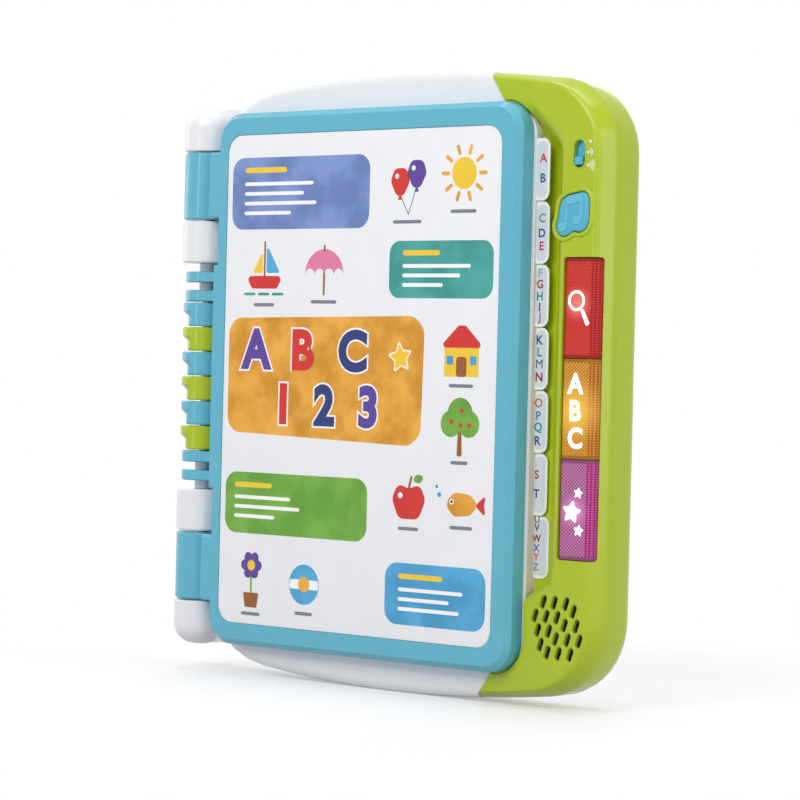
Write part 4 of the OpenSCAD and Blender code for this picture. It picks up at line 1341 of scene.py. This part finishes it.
    def balloons(self, x: float, z: float) -> None:
        """Prints two balloons on their strings.

        Args:
            x: its middle, across.
            z: its middle, up.
        """
        for dx, dz, colour in ((-4.6, 0.0, Ink.RED), (5.2, 3.5, Ink.PURPLE)):
            left, up = x + dx, z + dz
            self.ink(stick(left, up - 6, x + 0.6, z - 15, 0.5), Ink.GREY)
            self.shape(left, up, ((-1.4, -8.4), (1.4, -8.4), (0, -5.5)), 0.3, colour, 1.2)
            skin = ((-2.2, -6.6), (2.2, -6.6), (5.8, 0), (3.6, 6), (-3.6, 6), (-5.8, 0))
            self.shape(left, up, skin, 3.4, colour, 1.4, 6)
            self.ink(circle(left - 2, up + 2.4, 1.2, 14), Ink.PALE, 2)
        self.caption(x, z - 18.4, 17)

    def apple(self, x: float, z: float) -> None:
        """Prints an apple with its leaf.

        Args:
            x: its middle, across.
            z: its middle, up.
        """
        skin = ((-6, -9), (6, -9), (10, 0), (6.6, 7), (0, 4.8), (-6.6, 7), (-10, 0))
        self.shape(x, z, skin, 4.4, Ink.RED, steps=6)
        self.ink(stick(x, z + 5, x + 1.4, z + 10, 1.2), Ink.BROWN, 2)
        self.shape(x, z, ((2, 8), (7, 7.4), (9, 11), (4, 11.4)), 2.2, Ink.GREEN, 2)
        self.ink(circle(x - 5, z + 1.6, 1.4, 14), Ink.PALE, 2)
        self.caption(x, z - 13.4, 12)

    def house(self, x: float, z: float) -> None:
        """Prints a small house.

        Args:
            x: its middle, across.
            z: its middle, up.
        """
        self.shape(x, z, ((-10, -11), (10, -11), (10, 3), (-10, 3)), 0.8, Ink.YELLOW)
        self.shape(x, z, ((-13, 2), (13, 2), (2, 12), (-2, 12)), 1.4, Ink.RED, 2)
        self.ink(rounded(x - 3, x + 3, z - 11, z - 2, 1.6, 4), Ink.BROWN, 2)
        for dx in (-6.8, 6.8):
            self.ink(rounded(x + dx - 1.9, x + dx + 1.9, z - 5.6, z - 1.6, 0.5, 3), Ink.SKY, 2)
        self.caption(x, z - 15, 14)

    def tree(self, x: float, z: float) -> None:
        """Prints a round tree with fruit.

        Args:
            x: its middle, across.
            z: its middle, up.
        """
        self.ink(stick(x, z - 11, x, z - 1, 3.0, 2.0), Ink.BROWN)
        for dx, dz, r, level in ((-5.2, 2.0, 6.0, 1.2), (5.2, 2.0, 6.0, 1.4), (0.0, 6.6, 7.2, 1.6)):
            self.ink(circle(x + dx, z + dz, r, 28), Ink.GREEN, level)
        for dx, dz in ((-5, 3), (1, 8), (5.5, 1.6), (0.4, 1.4)):
            self.ink(circle(x + dx, z + dz, 1.1, 14), Ink.RED, 2)
        self.caption(x, z - 15.4, 10)

    def umbrella(self, x: float, z: float) -> None:
        """Prints an umbrella.

        Args:
            x: its middle, across.
            z: its middle, up.
        """
        self.ink(stick(x, z - 10.4, x, z + 3, 1.2), Ink.BROWN)
        scallops = [Arc(x + dx, z - 1.5, 3, 180, 0, 8) for dx in (-9, -3, 3, 9)]
        self.ink((Arc(x, z - 1.5, 12, 0, 180, 26), *scallops), Ink.PINK, 2)
        self.ink(stick(x, z + 9.6, x, z + 12, 1.0), Ink.BROWN, 3)
        self.caption(x, z - 14, 16)

    def ball(self, x: float, z: float) -> None:
        """Prints a striped ball.

        Args:
            x: its middle, across.
            z: its middle, up.
        """
        self.ink(circle(x, z, 9.4, 40), Ink.SKY)
        self.shape(x, z, ((-9, -2.2), (9, -2.2), (9, 2.2), (-9, 2.2)), 1.2, Ink.PALE, 2)
        self.ink(circle(x, z, 3.6, 24), Ink.ORANGE, 3)
        self.caption(x, z - 13.6, 11)

    def flower(self, x: float, z: float) -> None:
        """Prints a flower in a pot.

        Args:
            x: its middle, across.
            z: its middle, up.
        """
        self.ink(stick(x, z - 6, x, z + 4, 1.1), Ink.GREEN)
        self.shape(x, z, ((-5, -6), (-3.8, -13), (3.8, -13), (5, -6)), 0.8, Ink.BROWN, 2)
        for i in range(6):
            turn = math.tau * i / 6
            petal = circle(x + 4.2 * math.cos(turn), z + 7 + 4.2 * math.sin(turn), 2.5, 18)
            self.ink(petal, Ink.PURPLE, 1.1 + 0.12 * i)
        self.ink(circle(x, z + 7, 2.5, 18), Ink.YELLOW, 2)
        self.caption(x, z - 16, 12)

    def fish(self, x: float, z: float) -> None:
        """Prints a fish with bubbles.

        Args:
            x: its middle, across.
            z: its middle, up.
        """
        skin = ((-10, 0), (-4, -5.6), (5, -4.6), (10, 0), (5, 4.6), (-4, 5.6))
        self.shape(x, z, skin, 4, Ink.ORANGE, steps=6)
        self.shape(x, z, ((8, 0), (14.4, -5.4), (13, 0), (14.4, 5.4)), 1.1, Ink.RED, 1.2)
        self.ink(circle(x - 5.6, z + 1.2, 1.3, 14), Ink.PALE, 2)
        self.ink(circle(x - 5.6, z + 1.2, 0.7, 12), Ink.NAVY, 3)
        for dx, dz, r in ((-13, 4, 1.1), (-14.6, 7.6, 0.8)):
            self.ink(circle(x + dx, z + dz, r, 14), Ink.SKY)
        self.caption(x, z - 10.4, 13)

    def build(self) -> None:
        """Prints the whole panel."""
        self.sheet = Blank()
        outline = rounded(self.x0, self.x1, self.z0, self.z1, self.radius, 12)
        self.sheet.plate(outline, self.face_d, self.back_d, 0.08)
        self.sheet.paint(Ink.WHITE.index)
        self.panels()
        self.title()
        pictures = ((self.sun, 55, 236), (self.balloons, 22, 233), (self.boat, -66, 194),
                    (self.umbrella, -28, 192), (self.house, 56, 156), (self.tree, 56, 122),
                    (self.apple, 27, 89), (self.fish, 58, 88), (self.flower, -70, 46), (self.ball, -36, 46))
        for draw, x, z in pictures:
            draw(x, z)
        inks = [ink.finish() for ink in Ink]
        self.sheet.finish("printed_panel", "cover", inks, "print_panel", ["cover_label"], 40)


@dataclass
class IndexTabs:
    """The prints on the seven index tabs: a pale field with the letters of the alphabet down it.

    A row of tabs gives the letters' middle across, their height, and then each letter with its middle, up,
    and its ink's colour.
    """

    pitch: float = 27.8
    height: float = 27.5
    top: float = 251.15
    x0: float = 88.9
    x1: float = 94.9
    margin: float = 1.3
    first_d: float = 9.45
    step_d: float = 0.75
    last_d: float = 13.95
    last_reach: float = 1.2
    bold: float = 0.13
    layer: float = 0.03
    tabs: tuple[tuple[float, float, tuple[tuple[str, float, str], ...]], ...] = (
        (92.4, 4.0, (("A", 242.4, "C0392B"), ("B", 233.6, "274690"))),
        (92.0, 3.9, (("C", 216.0, "6C8C7A"), ("D", 209.4, "274690"), ("E", 203.7, "C2304A"))),
        (91.1, 3.8, (("F", 191.8, "7FB2D9"), ("G", 186.9, "A2483A"), ("H", 181.6, "239196"),
                     ("I", 176.8, "274690"), ("J", 171.9, "D2567A"))),
        (91.2, 4.1, (("K", 162.3, "274690"), ("L", 157.0, "4D9A46"), ("M", 151.7, "4B2A6B"),
                     ("N", 146.0, "9B2335"))),
        (90.8, 4.0, (("O", 134.5, "C2702E"), ("P", 128.8, "3C78C0"), ("Q", 123.5, "239196"),
                     ("R", 117.8, "274690"))),
        (90.2, 3.9, (("S", 102.8, "A2483A"), ("T", 94.4, "274690"))),
        (90.4, 3.2, (("U", 83.0, "74887A"), ("V", 79.4, "516076"), ("W", 74.6, "962A34"),
                     ("X", 70.4, "3C6FC0"), ("Y", 66.4, "D45438"), ("Z", 62.0, "7A949C"))),
    )

    def field(self, number: int, last: bool) -> Outline:
        """Draws the outline of one tab's print.

        Args:
            number: the tab's place from the top, from 0.
            last: whether it is the fixed card's tab, which reaches further out.

        Returns:
            The outline.
        """
        high = self.top - self.pitch * number - self.margin
        low = high - self.height + 2 * self.margin
        reach = self.x1 + (self.last_reach if last else 0.0)
        return cornered([(self.x0, low), (reach, low), (reach, high), (self.x0, high)], 2.6, 6)

    def build(self) -> None:
        """Prints each tab on its own leaf, and the last one on the fixed card."""
        leaves = len(self.tabs) - 1
        for number, (x, height, row) in enumerate(self.tabs):
            last = number == leaves
            face = self.last_d if last else self.first_d + self.step_d * number
            blank = Blank()
            blank.plate(self.field(number, last), face - self.layer, face + self.layer)
            blank.paint(0)
            inks = [PrintInk("tab_field", "D5DCE3", 0.34)]
            for text, z, colour in row:
                bold = 0.0 if text == "M" else self.bold
                mesh = text_mesh(text, height * CAP_TO_FONT, bold, face - 2 * self.layer, 0.04, x, z)
                blank.absorb(mesh)
                bpy.data.meshes.remove(mesh)
                blank.paint(len(inks))
                inks.append(PrintInk(f"ink_tab_{text}", colour, 0.34))
            body = "case" if last else f"page_{number + 1}"
            blank.finish(f"tab_{number + 1}_print", body, inks, "card", crease=40)


@dataclass(frozen=True)
class KeyLook:
    """How one lit key looks: its colour, its sloping side's darker colour as painted shade, its painted
    glint's colour, the knurl's painted shading, its material slot and where its painted glint is strongest.
    """

    colour: str
    # The sloping side's darker copy of the colour: painted shade.
    side: str
    # The painted glint's colour.
    bright: str
    # How much the knurl is painted lighter and darker: painted highlight and shade.
    contrast: float
    slot: str
    x: float
    z: float
    painted_glint_r: float = 9.0


@dataclass
class LitKeys:
    """The three see-through keys with their symbols."""

    face_d: float = 6.4
    proud: float = 0.12
    folds: tuple[tuple[float, float], ...] = ((122.5, 6.4), (123.9, 7.2), (126.9, 10.4))

    def surface(self, x: float) -> float:
        """Finds how deep a key's front lies.

        Args:
            x: the place across it.

        Returns:
            The depth.
        """
        for (x0, d0), (x1, d1) in zip(self.folds, self.folds[1:]):
            if x <= x0:
                return d0
            if x <= x1:
                return d0 + (d1 - d0) * (x - x0) / (x1 - x0)
        return self.folds[-1][1]

    def laid(self, blank: Blank) -> Blank:
        """Lays flat symbols over the folds of the key.

        Args:
            blank: the symbols, drawn at the depth of the key's face.

        Returns:
            The same blank.
        """
        bm = blank.bm
        bmesh.ops.bisect_plane(bm, geom=bm.verts[:] + bm.edges[:] + bm.faces[:],
                               plane_co=(self.folds[0][0], 0, 0), plane_no=(1, 0, 0))
        for vert in bm.verts:
            vert.co.y += self.surface(vert.co.x) - self.face_d
        return blank

    def magnifier(self) -> Blank:
        """Draws a magnifying glass.

        Returns:
            The blank.
        """
        blank = Blank()
        x, z, face = 115.0, 179.6, self.face_d - self.proud
        ring = [(3.3, 0.0), (4.5, 0.0), (4.5, -0.2), (3.3, -0.2), (3.3, 0.0)]
        blank.turned(ring, Matrix.Translation(spot(x, face, z)) @ Matrix.Rotation(math.pi / 2, 4, "X"))
        blank.plate(stick(x + 3.4, z - 4.6, x + 6.0, z - 9.6, 1.7, 2.1), face, face + 0.2)
        return blank

    def letters(self) -> Blank:
        """Draws the first three letters.

        Returns:
            The blank.
        """
        blank = Blank()
        for text, x, z in (("A", 115.6, 143.6), ("B", 115.9, 131.8), ("C", 116.1, 119.9)):
            mesh = text_mesh(text, 12.2, 0.42, self.face_d - self.proud, 2 * self.proud, x, z)
            narrow = Matrix.Diagonal((0.94, 1, 1, 1))
            mesh.transform(Matrix.Translation((x, 0, 0)) @ narrow @ Matrix.Translation((-x, 0, 0)))
            blank.absorb(mesh)
            bpy.data.meshes.remove(mesh)
        return blank

    def stars(self) -> Blank:
        """Draws three stars.

        Returns:
            The blank.
        """
        blank = Blank()
        for x, z, radius in ((115.2, 87.6, 5.6), (118.6, 96.0, 2.7), (119.2, 79.7, 3.0)):
            blank.plate(star(x, z, radius, 5, 0.5, -8), self.face_d - self.proud, self.face_d + 0.1)
        return blank

    def build(self, frame: dict) -> None:
        """Dresses the keys and sets their symbols.
        """
        # Each look gives the key's colour, the darker colour of its sloping side as painted shade, the
        # painted glint's colour, the knurl's painted shading, the slot, and the painted glint's middle.
        search = KeyLook("E3281E", "C4120E", "FF9C86", 0.16, "red_key", 115.6, 178.4)
        letters = KeyLook("F3A012", "D97A08", "FFD25A", 0.24, "amber_key", 115.8, 131.6, 17.0)
        games = KeyLook("CF6CAE", "CB2F90", "F3A4D8", 0.24, "pink_key", 116.2, 88.0)
        for name, look, draw in (("search", search, self.magnifier), ("letters", letters, self.letters),
                                 ("games", games, self.stars)):
            node, body = name + "_key", name + "_button"
            low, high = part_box(node)
            finish = LitWindow(name + "_window", look.colour, 0.2, left=low.x / MM, facet=self.folds[0][0],
                               low=low.z / MM, high=high.z / MM, painted_glint_x=look.x, painted_glint_z=look.z,
                               painted_glint_r=look.painted_glint_r, bright=look.bright, shaded_side_colour=look.side,
                               contrast=look.contrast)
            smooth_copy(frame, node).finish(node + "_window", body, finish, look.slot, [node], 20)
            self.laid(draw()).finish(node + "_symbol", body, LIT_WHITE, look.slot)


@dataclass
class ControlPanel:
    """The lime front moulding: a soft shoulder, a hollow for the tabs, and its openings."""

    face_d: float = 5.4
    floor_d: float = 14.45
    seam_d: float = 17.0
    free_d: float = 16.6
    well_d: float = 14.4
    socket_d: float = 12.4
    recess_d: float = 9.0
    cover_d: float = 9.45
    ahead_d: float = -6.0
    wall: float = 2.0
    left: float = 45.0
    inner_left: float = 91.0
    wing_x: float = 108.2
    wing_slope: float = 0.0856
    split_x: float = 72.0
    rim_d: float = 8.5
    rim_slope: float = 0.0417
    hollow_x: tuple[float, float] = (88.0, 107.2)
    hollow_z: tuple[float, float] = (55.9, 249.5)
    slope: float = 9.7
    low_slope: float = 4.9
    profile: tuple[tuple[float, float], ...] = (
        (5.4, 6.4), (5.45, 5.3), (5.62, 4.55), (5.95, 3.95), (6.5, 3.45), (7.3, 2.95), (8.3, 2.5),
        (9.6, 1.95), (11.0, 1.38), (12.4, 0.85), (13.6, 0.48), (14.8, 0.18), (16.0, 0.03))

    def wing(self, x: float) -> float:
        """Finds how deep the front lies beside the hollow: it falls away towards the white rim.

        Args:
            x: the place across it.

        Returns:
            The depth.
        """
        if x >= self.split_x:
            return self.face_d + self.wing_slope * max(self.wing_x - x, 0.0)
        return self.rim_d + self.rim_slope * (self.split_x - x)

    def front(self, x: float, z: float) -> float:
        """Finds how deep the front lies, with the hollow for the tabs taken in.

        Args:
            x: the place across it.
            z: the place up it.

        Returns:
            The depth.
        """
        right = (self.hollow_x[1] - x) / self.slope
        reach = self.hollow_x[1] - max(x, self.hollow_x[0])
        top = (reach * 0.66 + (self.hollow_z[1] - z) * 0.75) / self.slope
        low = (reach * 0.45 + (z - self.hollow_z[0]) * 0.89) / self.low_slope
        share = smooth_step(soft_least(soft_least(right, top, 0.4), low, 0.4), 0.0, 1.0)
        return self.wing(x) + (self.floor_d - self.wing(x)) * share

    def skin(self, inward: float, back: float, left: float) -> Blank:
        """Makes the solid under the front's surface.

        Args:
            inward: how far inside the real surface it lies.
            back: depth of its back.
            left: where it ends on the left.

        Returns:
            The blank.
        """
        blank = Blank()
        bm = blank.bm
        blank.loft([(drawn_in(CASE_OUTLINE, t + inward), d + inward) for d, t in self.profile]
                   + [(drawn_in(CASE_OUTLINE, inward), back)])
        cut = bmesh.ops.bisect_plane(bm, geom=bm.verts[:] + bm.edges[:] + bm.faces[:], plane_co=(left, 0, 0),
                                     plane_no=(1, 0, 0), clear_inner=True)
        bmesh.ops.edgeloop_fill(bm, edges=[e for e in cut["geom_cut"] if isinstance(e, bmesh.types.BMEdge)])
        columns, rows, steep = (0, left + 1.5, 126.0, 1.8), (2, 3.0, 282.0, 2.4), (0, 96.1, 108.0, 1.3)
        for axis, low, high, step in (columns, rows, steep):
            for i in range(int((high - low) / step)):
                place, normal = [0.0, 0.0, 0.0], [0.0, 0.0, 0.0]
                place[axis], normal[axis] = low + step * i, 1.0
                bmesh.ops.bisect_plane(bm, geom=bm.verts[:] + bm.edges[:] + bm.faces[:], plane_co=place,
                                       plane_no=normal, dist=0.01)
        for vert in bm.verts:
            depth = vert.co.y + HALF_T - inward
            if depth < min(self.free_d, back - inward - 0.2):
                drop, fall = depth - self.face_d, self.front(vert.co.x, vert.co.z) - self.face_d
                depth = self.face_d + (max(drop, 0.0) ** 3 + fall ** 3) ** (1 / 3)
                vert.co.y = depth + inward - HALF_T
        bmesh.ops.remove_doubles(bm, verts=bm.verts, dist=0.02)
        bmesh.ops.dissolve_degenerate(bm, edges=bm.edges, dist=0.01)
        bmesh.ops.triangulate(bm, faces=bm.faces)
        return blank

    def prism(self, outline: Outline, front: float, back: float) -> Blank:
        """Makes a cutter with straight sides.

        Args:
            outline: its outline.
            front: depth of its front.
            back: depth of its back.

        Returns:
            The blank.
        """
        blank = Blank()
        blank.plate(outline, front, back)
        return blank

    def slots(self) -> Blank:
        """Makes the cutter for the sound slots: leaning, with softly flared mouths.

        Returns:
            The blank.
        """
        odd = (100.8, 47.4, ((0, 2), (-1, 1), (-1, 0), (-1, -1)))
        even = (105.0, 44.3, ((2, 2), (1, 2), (0, 2), (-1, 1)))
        flare = ((1.5, -1.2), (0.55, -0.02), (0.25, 0.2), (0.06, 0.6), (0.0, 1.2), (0.0, 4.0))
        pitch, shift, drop, radius, half, lean = 6.45, 1.75, 6.3, 1.25, 1.75, math.radians(20)
        dx, dz = half * math.sin(lean), half * math.cos(lean)
        blank = Blank()
        for j in range(4):
            for x0, z0, rows in (odd, even):
                for i in range(rows[j][0], rows[j][1] + 1):
                    x, z = x0 + pitch * i + shift * j, z0 - drop * j
                    slot = (Arc(x + dx, z + dz, radius, -20, 160, 8),
                            Arc(x - dx, z - dz, radius, 160, 340, 8))
                    face = self.front(x, z)
                    blank.loft([(drawn_in(slot, -wider), face + depth) for wider, depth in flare])
        return blank

    def build(self, frame: dict) -> None:
        """Makes the moulding: a new front on the back of its CAD solid.
        """
        white_side = cornered([(-40, -40), (28, -40), (55.5, -8), (72, 15.98), (75.6, 15.98), (89.57, 29.95),
                               (89.57, 251.95), (75.6, 265.92), (72, 265.92), (55.5, 289.8), (40, 320),
                               (-40, 320)], 0.05, 1)
        openings = (
            (white_side, 40), (rounded(-20, 89.6, 15.95, 265.95, 14, 14), self.floor_d),
            (rounded(-20, 87.7, 13.25, 268.65, 14.8, 14), self.cover_d),
            (cornered([(108.2, 66.5), (127.2, 66.5), (127.2, 198.5), (108.2, 198.5)], 1.4, 5), self.well_d),
            (rounded(126.2, 140, 66.5, 198.5, 0.6, 3), self.recess_d),
            (drawn_in(MUSIC_OUTLINE, -0.1), self.socket_d),
            (rounded(112.3, 118.3, 237.4, 249.4, 2.99, 10), self.socket_d))
        front = self.skin(0.0, self.seam_d, self.left).holed(
            self.skin(self.wall, self.seam_d + 2.6, self.inner_left),
            *[self.prism(outline, self.ahead_d, depth) for outline, depth in openings], self.slots())
        back = behind(frame, "control_panel", self.seam_d)
        rest = bpy.data.meshes.new("rest")
        back.bm.to_mesh(rest)
        back.bm.free()
        front.absorb(rest)
        bpy.data.meshes.remove(rest)
        bmesh.ops.remove_doubles(front.bm, verts=front.bm.verts, dist=0.002)
        front.finish("control_panel_moulding", "case", LIME, "lime_shell", ["control_panel"], 40,
                     outward=False)


@dataclass
class SmallControls:
    """What stands round the music key and the volume slide, and the raised note."""

    bar_d: float = 5.4
    slide_x: float = 115.3
    slide_z: float = 243.4
    key_d: float = 4.6
    marks_x: float = 121.0

    def ring(self, outline: Outline, sections: Sequence[tuple[float, float]]) -> Blank:
        """Makes a closed rim round an opening in the bar.

        Args:
            outline: the opening's outline.
            sections: how far each line of the rim lies outside that, and how far behind the bar's face.

        Returns:
            The blank.
        """
        blank = Blank()
        lines = [(drawn_in(outline, -out), self.bar_d + depth) for out, depth in sections]
        loops = blank.loft(lines, closed=False)
        bmesh.ops.bridge_loops(blank.bm, edges=loops[0] + loops[-1])
        return blank

    def bezel(self) -> None:
        """Makes the raised lime rim round the music key."""
        sections = ((2.1, 6.4), (2.1, -0.2), (1.5, -0.75), (0.5, -0.75), (0.12, -0.35), (0.12, 6.4))
        self.ring(MUSIC_OUTLINE, sections).finish("music_key_rim", "case", LIME, "lime_shell", crease=50)

    def slide_rim(self) -> None:
        """Makes the soft rim round the volume slide's slot."""
        slot = rounded(self.slide_x - 3, self.slide_x + 3, self.slide_z - 6, self.slide_z + 6, 2.99, 10)
        sections = ((0.9, 0.1), (0.75, -0.12), (0.4, -0.2), (0.12, -0.12), (0.0, 0.3))
        self.ring(slot, sections).finish("volume_slot_rim", "case", LIME, "lime_shell", crease=50)

    def key(self, frame: dict) -> None:
        """Makes the music key: a cushioned front on the back of its CAD solid.
        """
        seam = self.key_d + 3.0
        key = behind(frame, "music_key", seam)
        rim = [e for e in key.bm.edges if e.is_boundary]
        bmesh.ops.edgeloop_fill(key.bm, edges=rim)
        key.plate(drawn_in(MUSIC_OUTLINE, 0.2), self.key_d, seam, 1.2)
        key.finish("music_key_cap", "music_button", TEAL, "teal_control", ["music_key"], 50)

    def note(self) -> None:
        """Makes the raised pair of notes on the music key."""
        blank = Blank()
        face, back = self.key_d - 0.28, self.key_d + 0.2
        for x, z in ((107.6, 211.6), (115.4, 214.6)):
            head = [(x - 2.7, z - 1.9), (x + 1.9, z - 2.2), (x + 2.7, z + 1.5), (x - 1.8, z + 2.1)]
            blank.plate(cornered(head, 1.9, 6), face, back, 0.25)
        for x, z, top in ((109.7, 212.4, 223.4), (117.5, 215.4, 225.0)):
            blank.plate(stick(x, z, x, top, 1.3), face + 0.03, back, 0.25)
        beam = [(109.1, 220.6), (118.1, 222.6), (118.1, 225.9), (109.1, 223.9)]
        blank.plate(cornered(beam, 0.7, 4), face - 0.03, back, 0.25)
        # The notes are the key's own teal, painted lighter as a highlight.
        blank.finish("music_key_note", "music_button", TEAL_PAINTED_HIGHLIGHT, "teal_control")

    def marks(self) -> None:
        """Prints the volume symbols beside the slide: a dot, and waves."""
        blank = Blank()
        x, face, back = self.marks_x, self.bar_d - 0.05, self.bar_d + 0.05
        blank.plate(star(x + 0.2, 248.6, 0.9, 6, 0.6), face, back)
        for z, count in ((243.9, 2), (238.3, 3)):
            blank.plate(circle(x - 0.9, z, 0.6, 16), face, back)
            for i in range(count):
                radius = 1.35 + 0.95 * i
                outer = Arc(x - 0.9, z, radius + 0.22, -48, 48, 10)
                inner = Arc(x - 0.9, z, radius - 0.22, 48, -48, 10)
                blank.plate((outer, inner), face, back)
        blank.finish("volume_marks", "case", ICON_WHITE, "lime_shell")

    def build(self, frame: dict) -> None:
        """Makes them all.
        """
        self.key(frame)
        self.bezel()
        self.slide_rim()
        self.note()
        self.marks()


@dataclass
class Studio:
    """The floor, the lamps, the world and the camera."""

    lens: float = 135.0
    place: tuple[float, float, float] = (0.90929, -1.04866, 0.15212)
    forward: tuple[float, float, float] = (-0.652941, 0.757289, -0.013482)
    right: tuple[float, float, float] = (0.75689, 0.65304, 0.02487)
    down: tuple[float, float, float] = (0.027638, 0.006034, -0.999580)
    ambient: float = 0.26
    shadow: tuple[float, float] = (0.17, 0.34)
    floor_glow: float = 0.37

    def camera(self) -> None:
        """Sets the camera where the photograph was taken from."""
        lens = bpy.data.cameras.new("camera")
        lens.lens, lens.sensor_width = self.lens, 36.0
        holder = bpy.data.objects.new("camera", lens)
        bpy.context.scene.collection.objects.link(holder)
        turned = Matrix((self.right, -Vector(self.down), -Vector(self.forward))).transposed().to_4x4()
        holder.matrix_world = Matrix.Translation(self.place) @ turned
        bpy.context.scene.camera = holder

    def seen(self, tree: bpy.types.NodeTree) -> bpy.types.NodeSocket:
        """Tells the rays that the picture shows from those that only light things.

        Args:
            tree: the node tree that asks.

        Returns:
            The output that gives 1 for rays from the camera, a mirror or a glass, and 0 for the rest.
        """
        path = tree.nodes.new("ShaderNodeLightPath")
        seen = path.outputs["Is Camera Ray"]
        for other in ("Is Glossy Ray", "Is Transmission Ray"):
            most = tree.nodes.new("ShaderNodeMath")
            most.operation = "MAXIMUM"
            tree.links.new(seen, most.inputs[0])
            tree.links.new(path.outputs[other], most.inputs[1])
            seen = most.outputs[0]
        return seen

    def world(self) -> None:
        """Gives an even pale light, with white behind the object."""
        world = bpy.data.worlds.new("studio")
        bpy.context.scene.world = world
        world.use_nodes = True
        tree = world.node_tree
        strength = tree.nodes.new("ShaderNodeMapRange")
        strength.inputs["To Min"].default_value = self.ambient
        strength.inputs["To Max"].default_value = 1.0
        tree.links.new(self.seen(tree), strength.inputs["Value"])
        tree.links.new(strength.outputs["Result"], tree.nodes["Background"].inputs["Strength"])
        tree.nodes["Background"].inputs["Color"].default_value = WHITE_LIGHT

    def lamp(self, name: str, place: Sequence[float], aim: Sequence[float], size: tuple[float, float],
             watts: float) -> None:
        """Hangs a soft box.

        Args:
            name: the lamp's name.
            place: where it hangs.
            aim: the point that it faces.
            size: its width and height.
            watts: its power.
        """
        light = bpy.data.lights.new(name, "AREA")
        light.shape, light.size, light.size_y, light.energy = "RECTANGLE", *size, watts
        holder = bpy.data.objects.new(name, light)
        bpy.context.scene.collection.objects.link(holder)
        turn = (Vector(aim) - Vector(place)).to_track_quat("-Z", "Y")
        holder.matrix_world = Matrix.Translation(place) @ turn.to_matrix().to_4x4()

    def floor(self) -> None:
        """Lays a white floor that keeps the object's shadow and fades to white away from it."""
        blank = Blank()
        bmesh.ops.create_grid(blank.bm, x_segments=1, y_segments=1, size=4000,
                              matrix=Matrix.Translation((0, 0, -0.3)))
        sheet = ShaderSheet("studio_floor")
        grain = sheet.noise(30.0)
        sheet.set(Base_Color=(0.55, 0.55, 0.56, 1.0), Roughness=sheet.span(grain, 0.0, 1.0, 0.75, 0.85))
        near = sheet.add("VectorMath", operation="LENGTH")
        sheet.feed(near.inputs[0], sheet.coordinates())
        away = sheet.span(near.outputs["Value"], self.shadow[0], self.shadow[1])
        glow = sheet.add("Emission")
        glow.inputs["Color"].default_value = WHITE_LIGHT
        seen = self.seen(sheet.tree)
        sheet.set(Emission_Color=WHITE_LIGHT, Emission_Strength=sheet.math("MULTIPLY", seen, self.floor_glow))
        blend = sheet.add("MixShader")
        sheet.feed(blend.inputs[0], sheet.math("MULTIPLY", seen, away))
        sheet.feed(blend.inputs[1], sheet.shader.outputs[0])
        sheet.feed(blend.inputs[2], glow.outputs[0])
        sheet.feed(sheet.tree.nodes["Material Output"].inputs["Surface"], blend.outputs[0])
        bmesh.ops.scale(blank.bm, vec=(MM, MM, MM), verts=blank.bm.verts)
        mesh = bpy.data.meshes.new("floor")
        blank.bm.to_mesh(mesh)
        blank.bm.free()
        mesh.materials.append(sheet.material)
        floor = bpy.data.objects.new("floor", mesh)
        bpy.context.scene.collection.objects.link(floor)

    def build(self) -> None:
        """Sets the studio."""
        bpy.context.scene.view_settings.view_transform = "Standard"
        self.camera()
        self.world()
        aim = (0.0, 0.0, 0.14)
        self.lamp("soft_box", (0.1, -1.15, 1.0), aim, (1.0, 0.8), 9.6)
        self.lamp("side_fill", (1.45, 0.2, 0.45), aim, (0.8, 1.2), 7.0)
        self.lamp("left_fill", (-1.4, -0.15, 0.7), aim, (0.9, 1.2), 4.2)
        self.lamp("back_fill", (-0.75, 1.4, 0.6), aim, (1.2, 1.0), 7.0)
        self.lamp("front_strip", (-0.39, -1.45, 0.66), (0.0, 0.0, 0.5), (0.09, 1.2), 2.6)
        self.lamp("corner_strip", (1.32, -0.7, 0.66), (0.0, 0.0, 0.5), (0.09, 1.2), 2.6)
        self.lamp("top_light", (0.0, 0.1, 1.5), aim, (1.3, 0.6), 6.5)
        self.floor()


def main(frame: dict) -> None:
    """Builds the whole dressed part.
    """
    Studio().build()
    white = ("rear_shell", "deck", "spine_frame", "top_end_cap", "bottom_end_cap", "rod_sleeves",
             "cover_liner")
    mouldings = {node: WHITE for node in white} | {"cover_shell": BLUE, "volume_knob": TEAL}
    mouldings |= {f"binder_{k}": BLUE if k % 2 else LIME for k in range(1, 7)}
    mouldings |= {"hinge_rod": STEEL, "door_screw": STEEL}
    Mouldings(mouldings).build(frame)
    BatteryDoor().build(frame)
    tints = ("F2C14E", "7EC4E8", "9CCB6B", "F29A76", "B79AD6", "6FC7B8", "F2C14E")
    nodes = (*[f"leaf_{k}" for k in range(1, 7)], "base_sheet")
    offsets = (*[0.13 * k for k in range(6)], 0.4)
    cards = {node: PrintedCard(node + "_print", "F3F4F2", 0.42, tint, "F0E2CC", offset)
             for node, tint, offset in zip(nodes, tints, offsets)}
    Workings(cards | {
        "main_board": BOARD, "light_board": BOARD, "page_sensor_board": BOARD, "sound_chip": BLACK,
        "key_switches": BLACK, "volume_switch": BLACK, "key_lights": LAMP, "touch_membrane": FILM,
        "speaker_basket": BASKET, "speaker_cone": CONE, "speaker_magnet": STEEL, "speaker_gasket": FOAM,
        "battery_cells": JACKET, "battery_springs": STEEL, "battery_plates": STEEL, "speaker_leads": RED_LEAD,
        "battery_leads": BLACK_LEAD, "case_screws": STEEL, "board_screws": STEEL}).dress(frame)
    ControlPanel().build(frame)
    PrintedPanel().build()
    IndexTabs().build()
    LitKeys().build(frame)
    SmallControls().build(frame)


if __name__ == "__main__":
    logging.basicConfig(level=logging.INFO, format="%(message)s")
    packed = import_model()
    main(packed)
    bpy.context.view_layer.update()
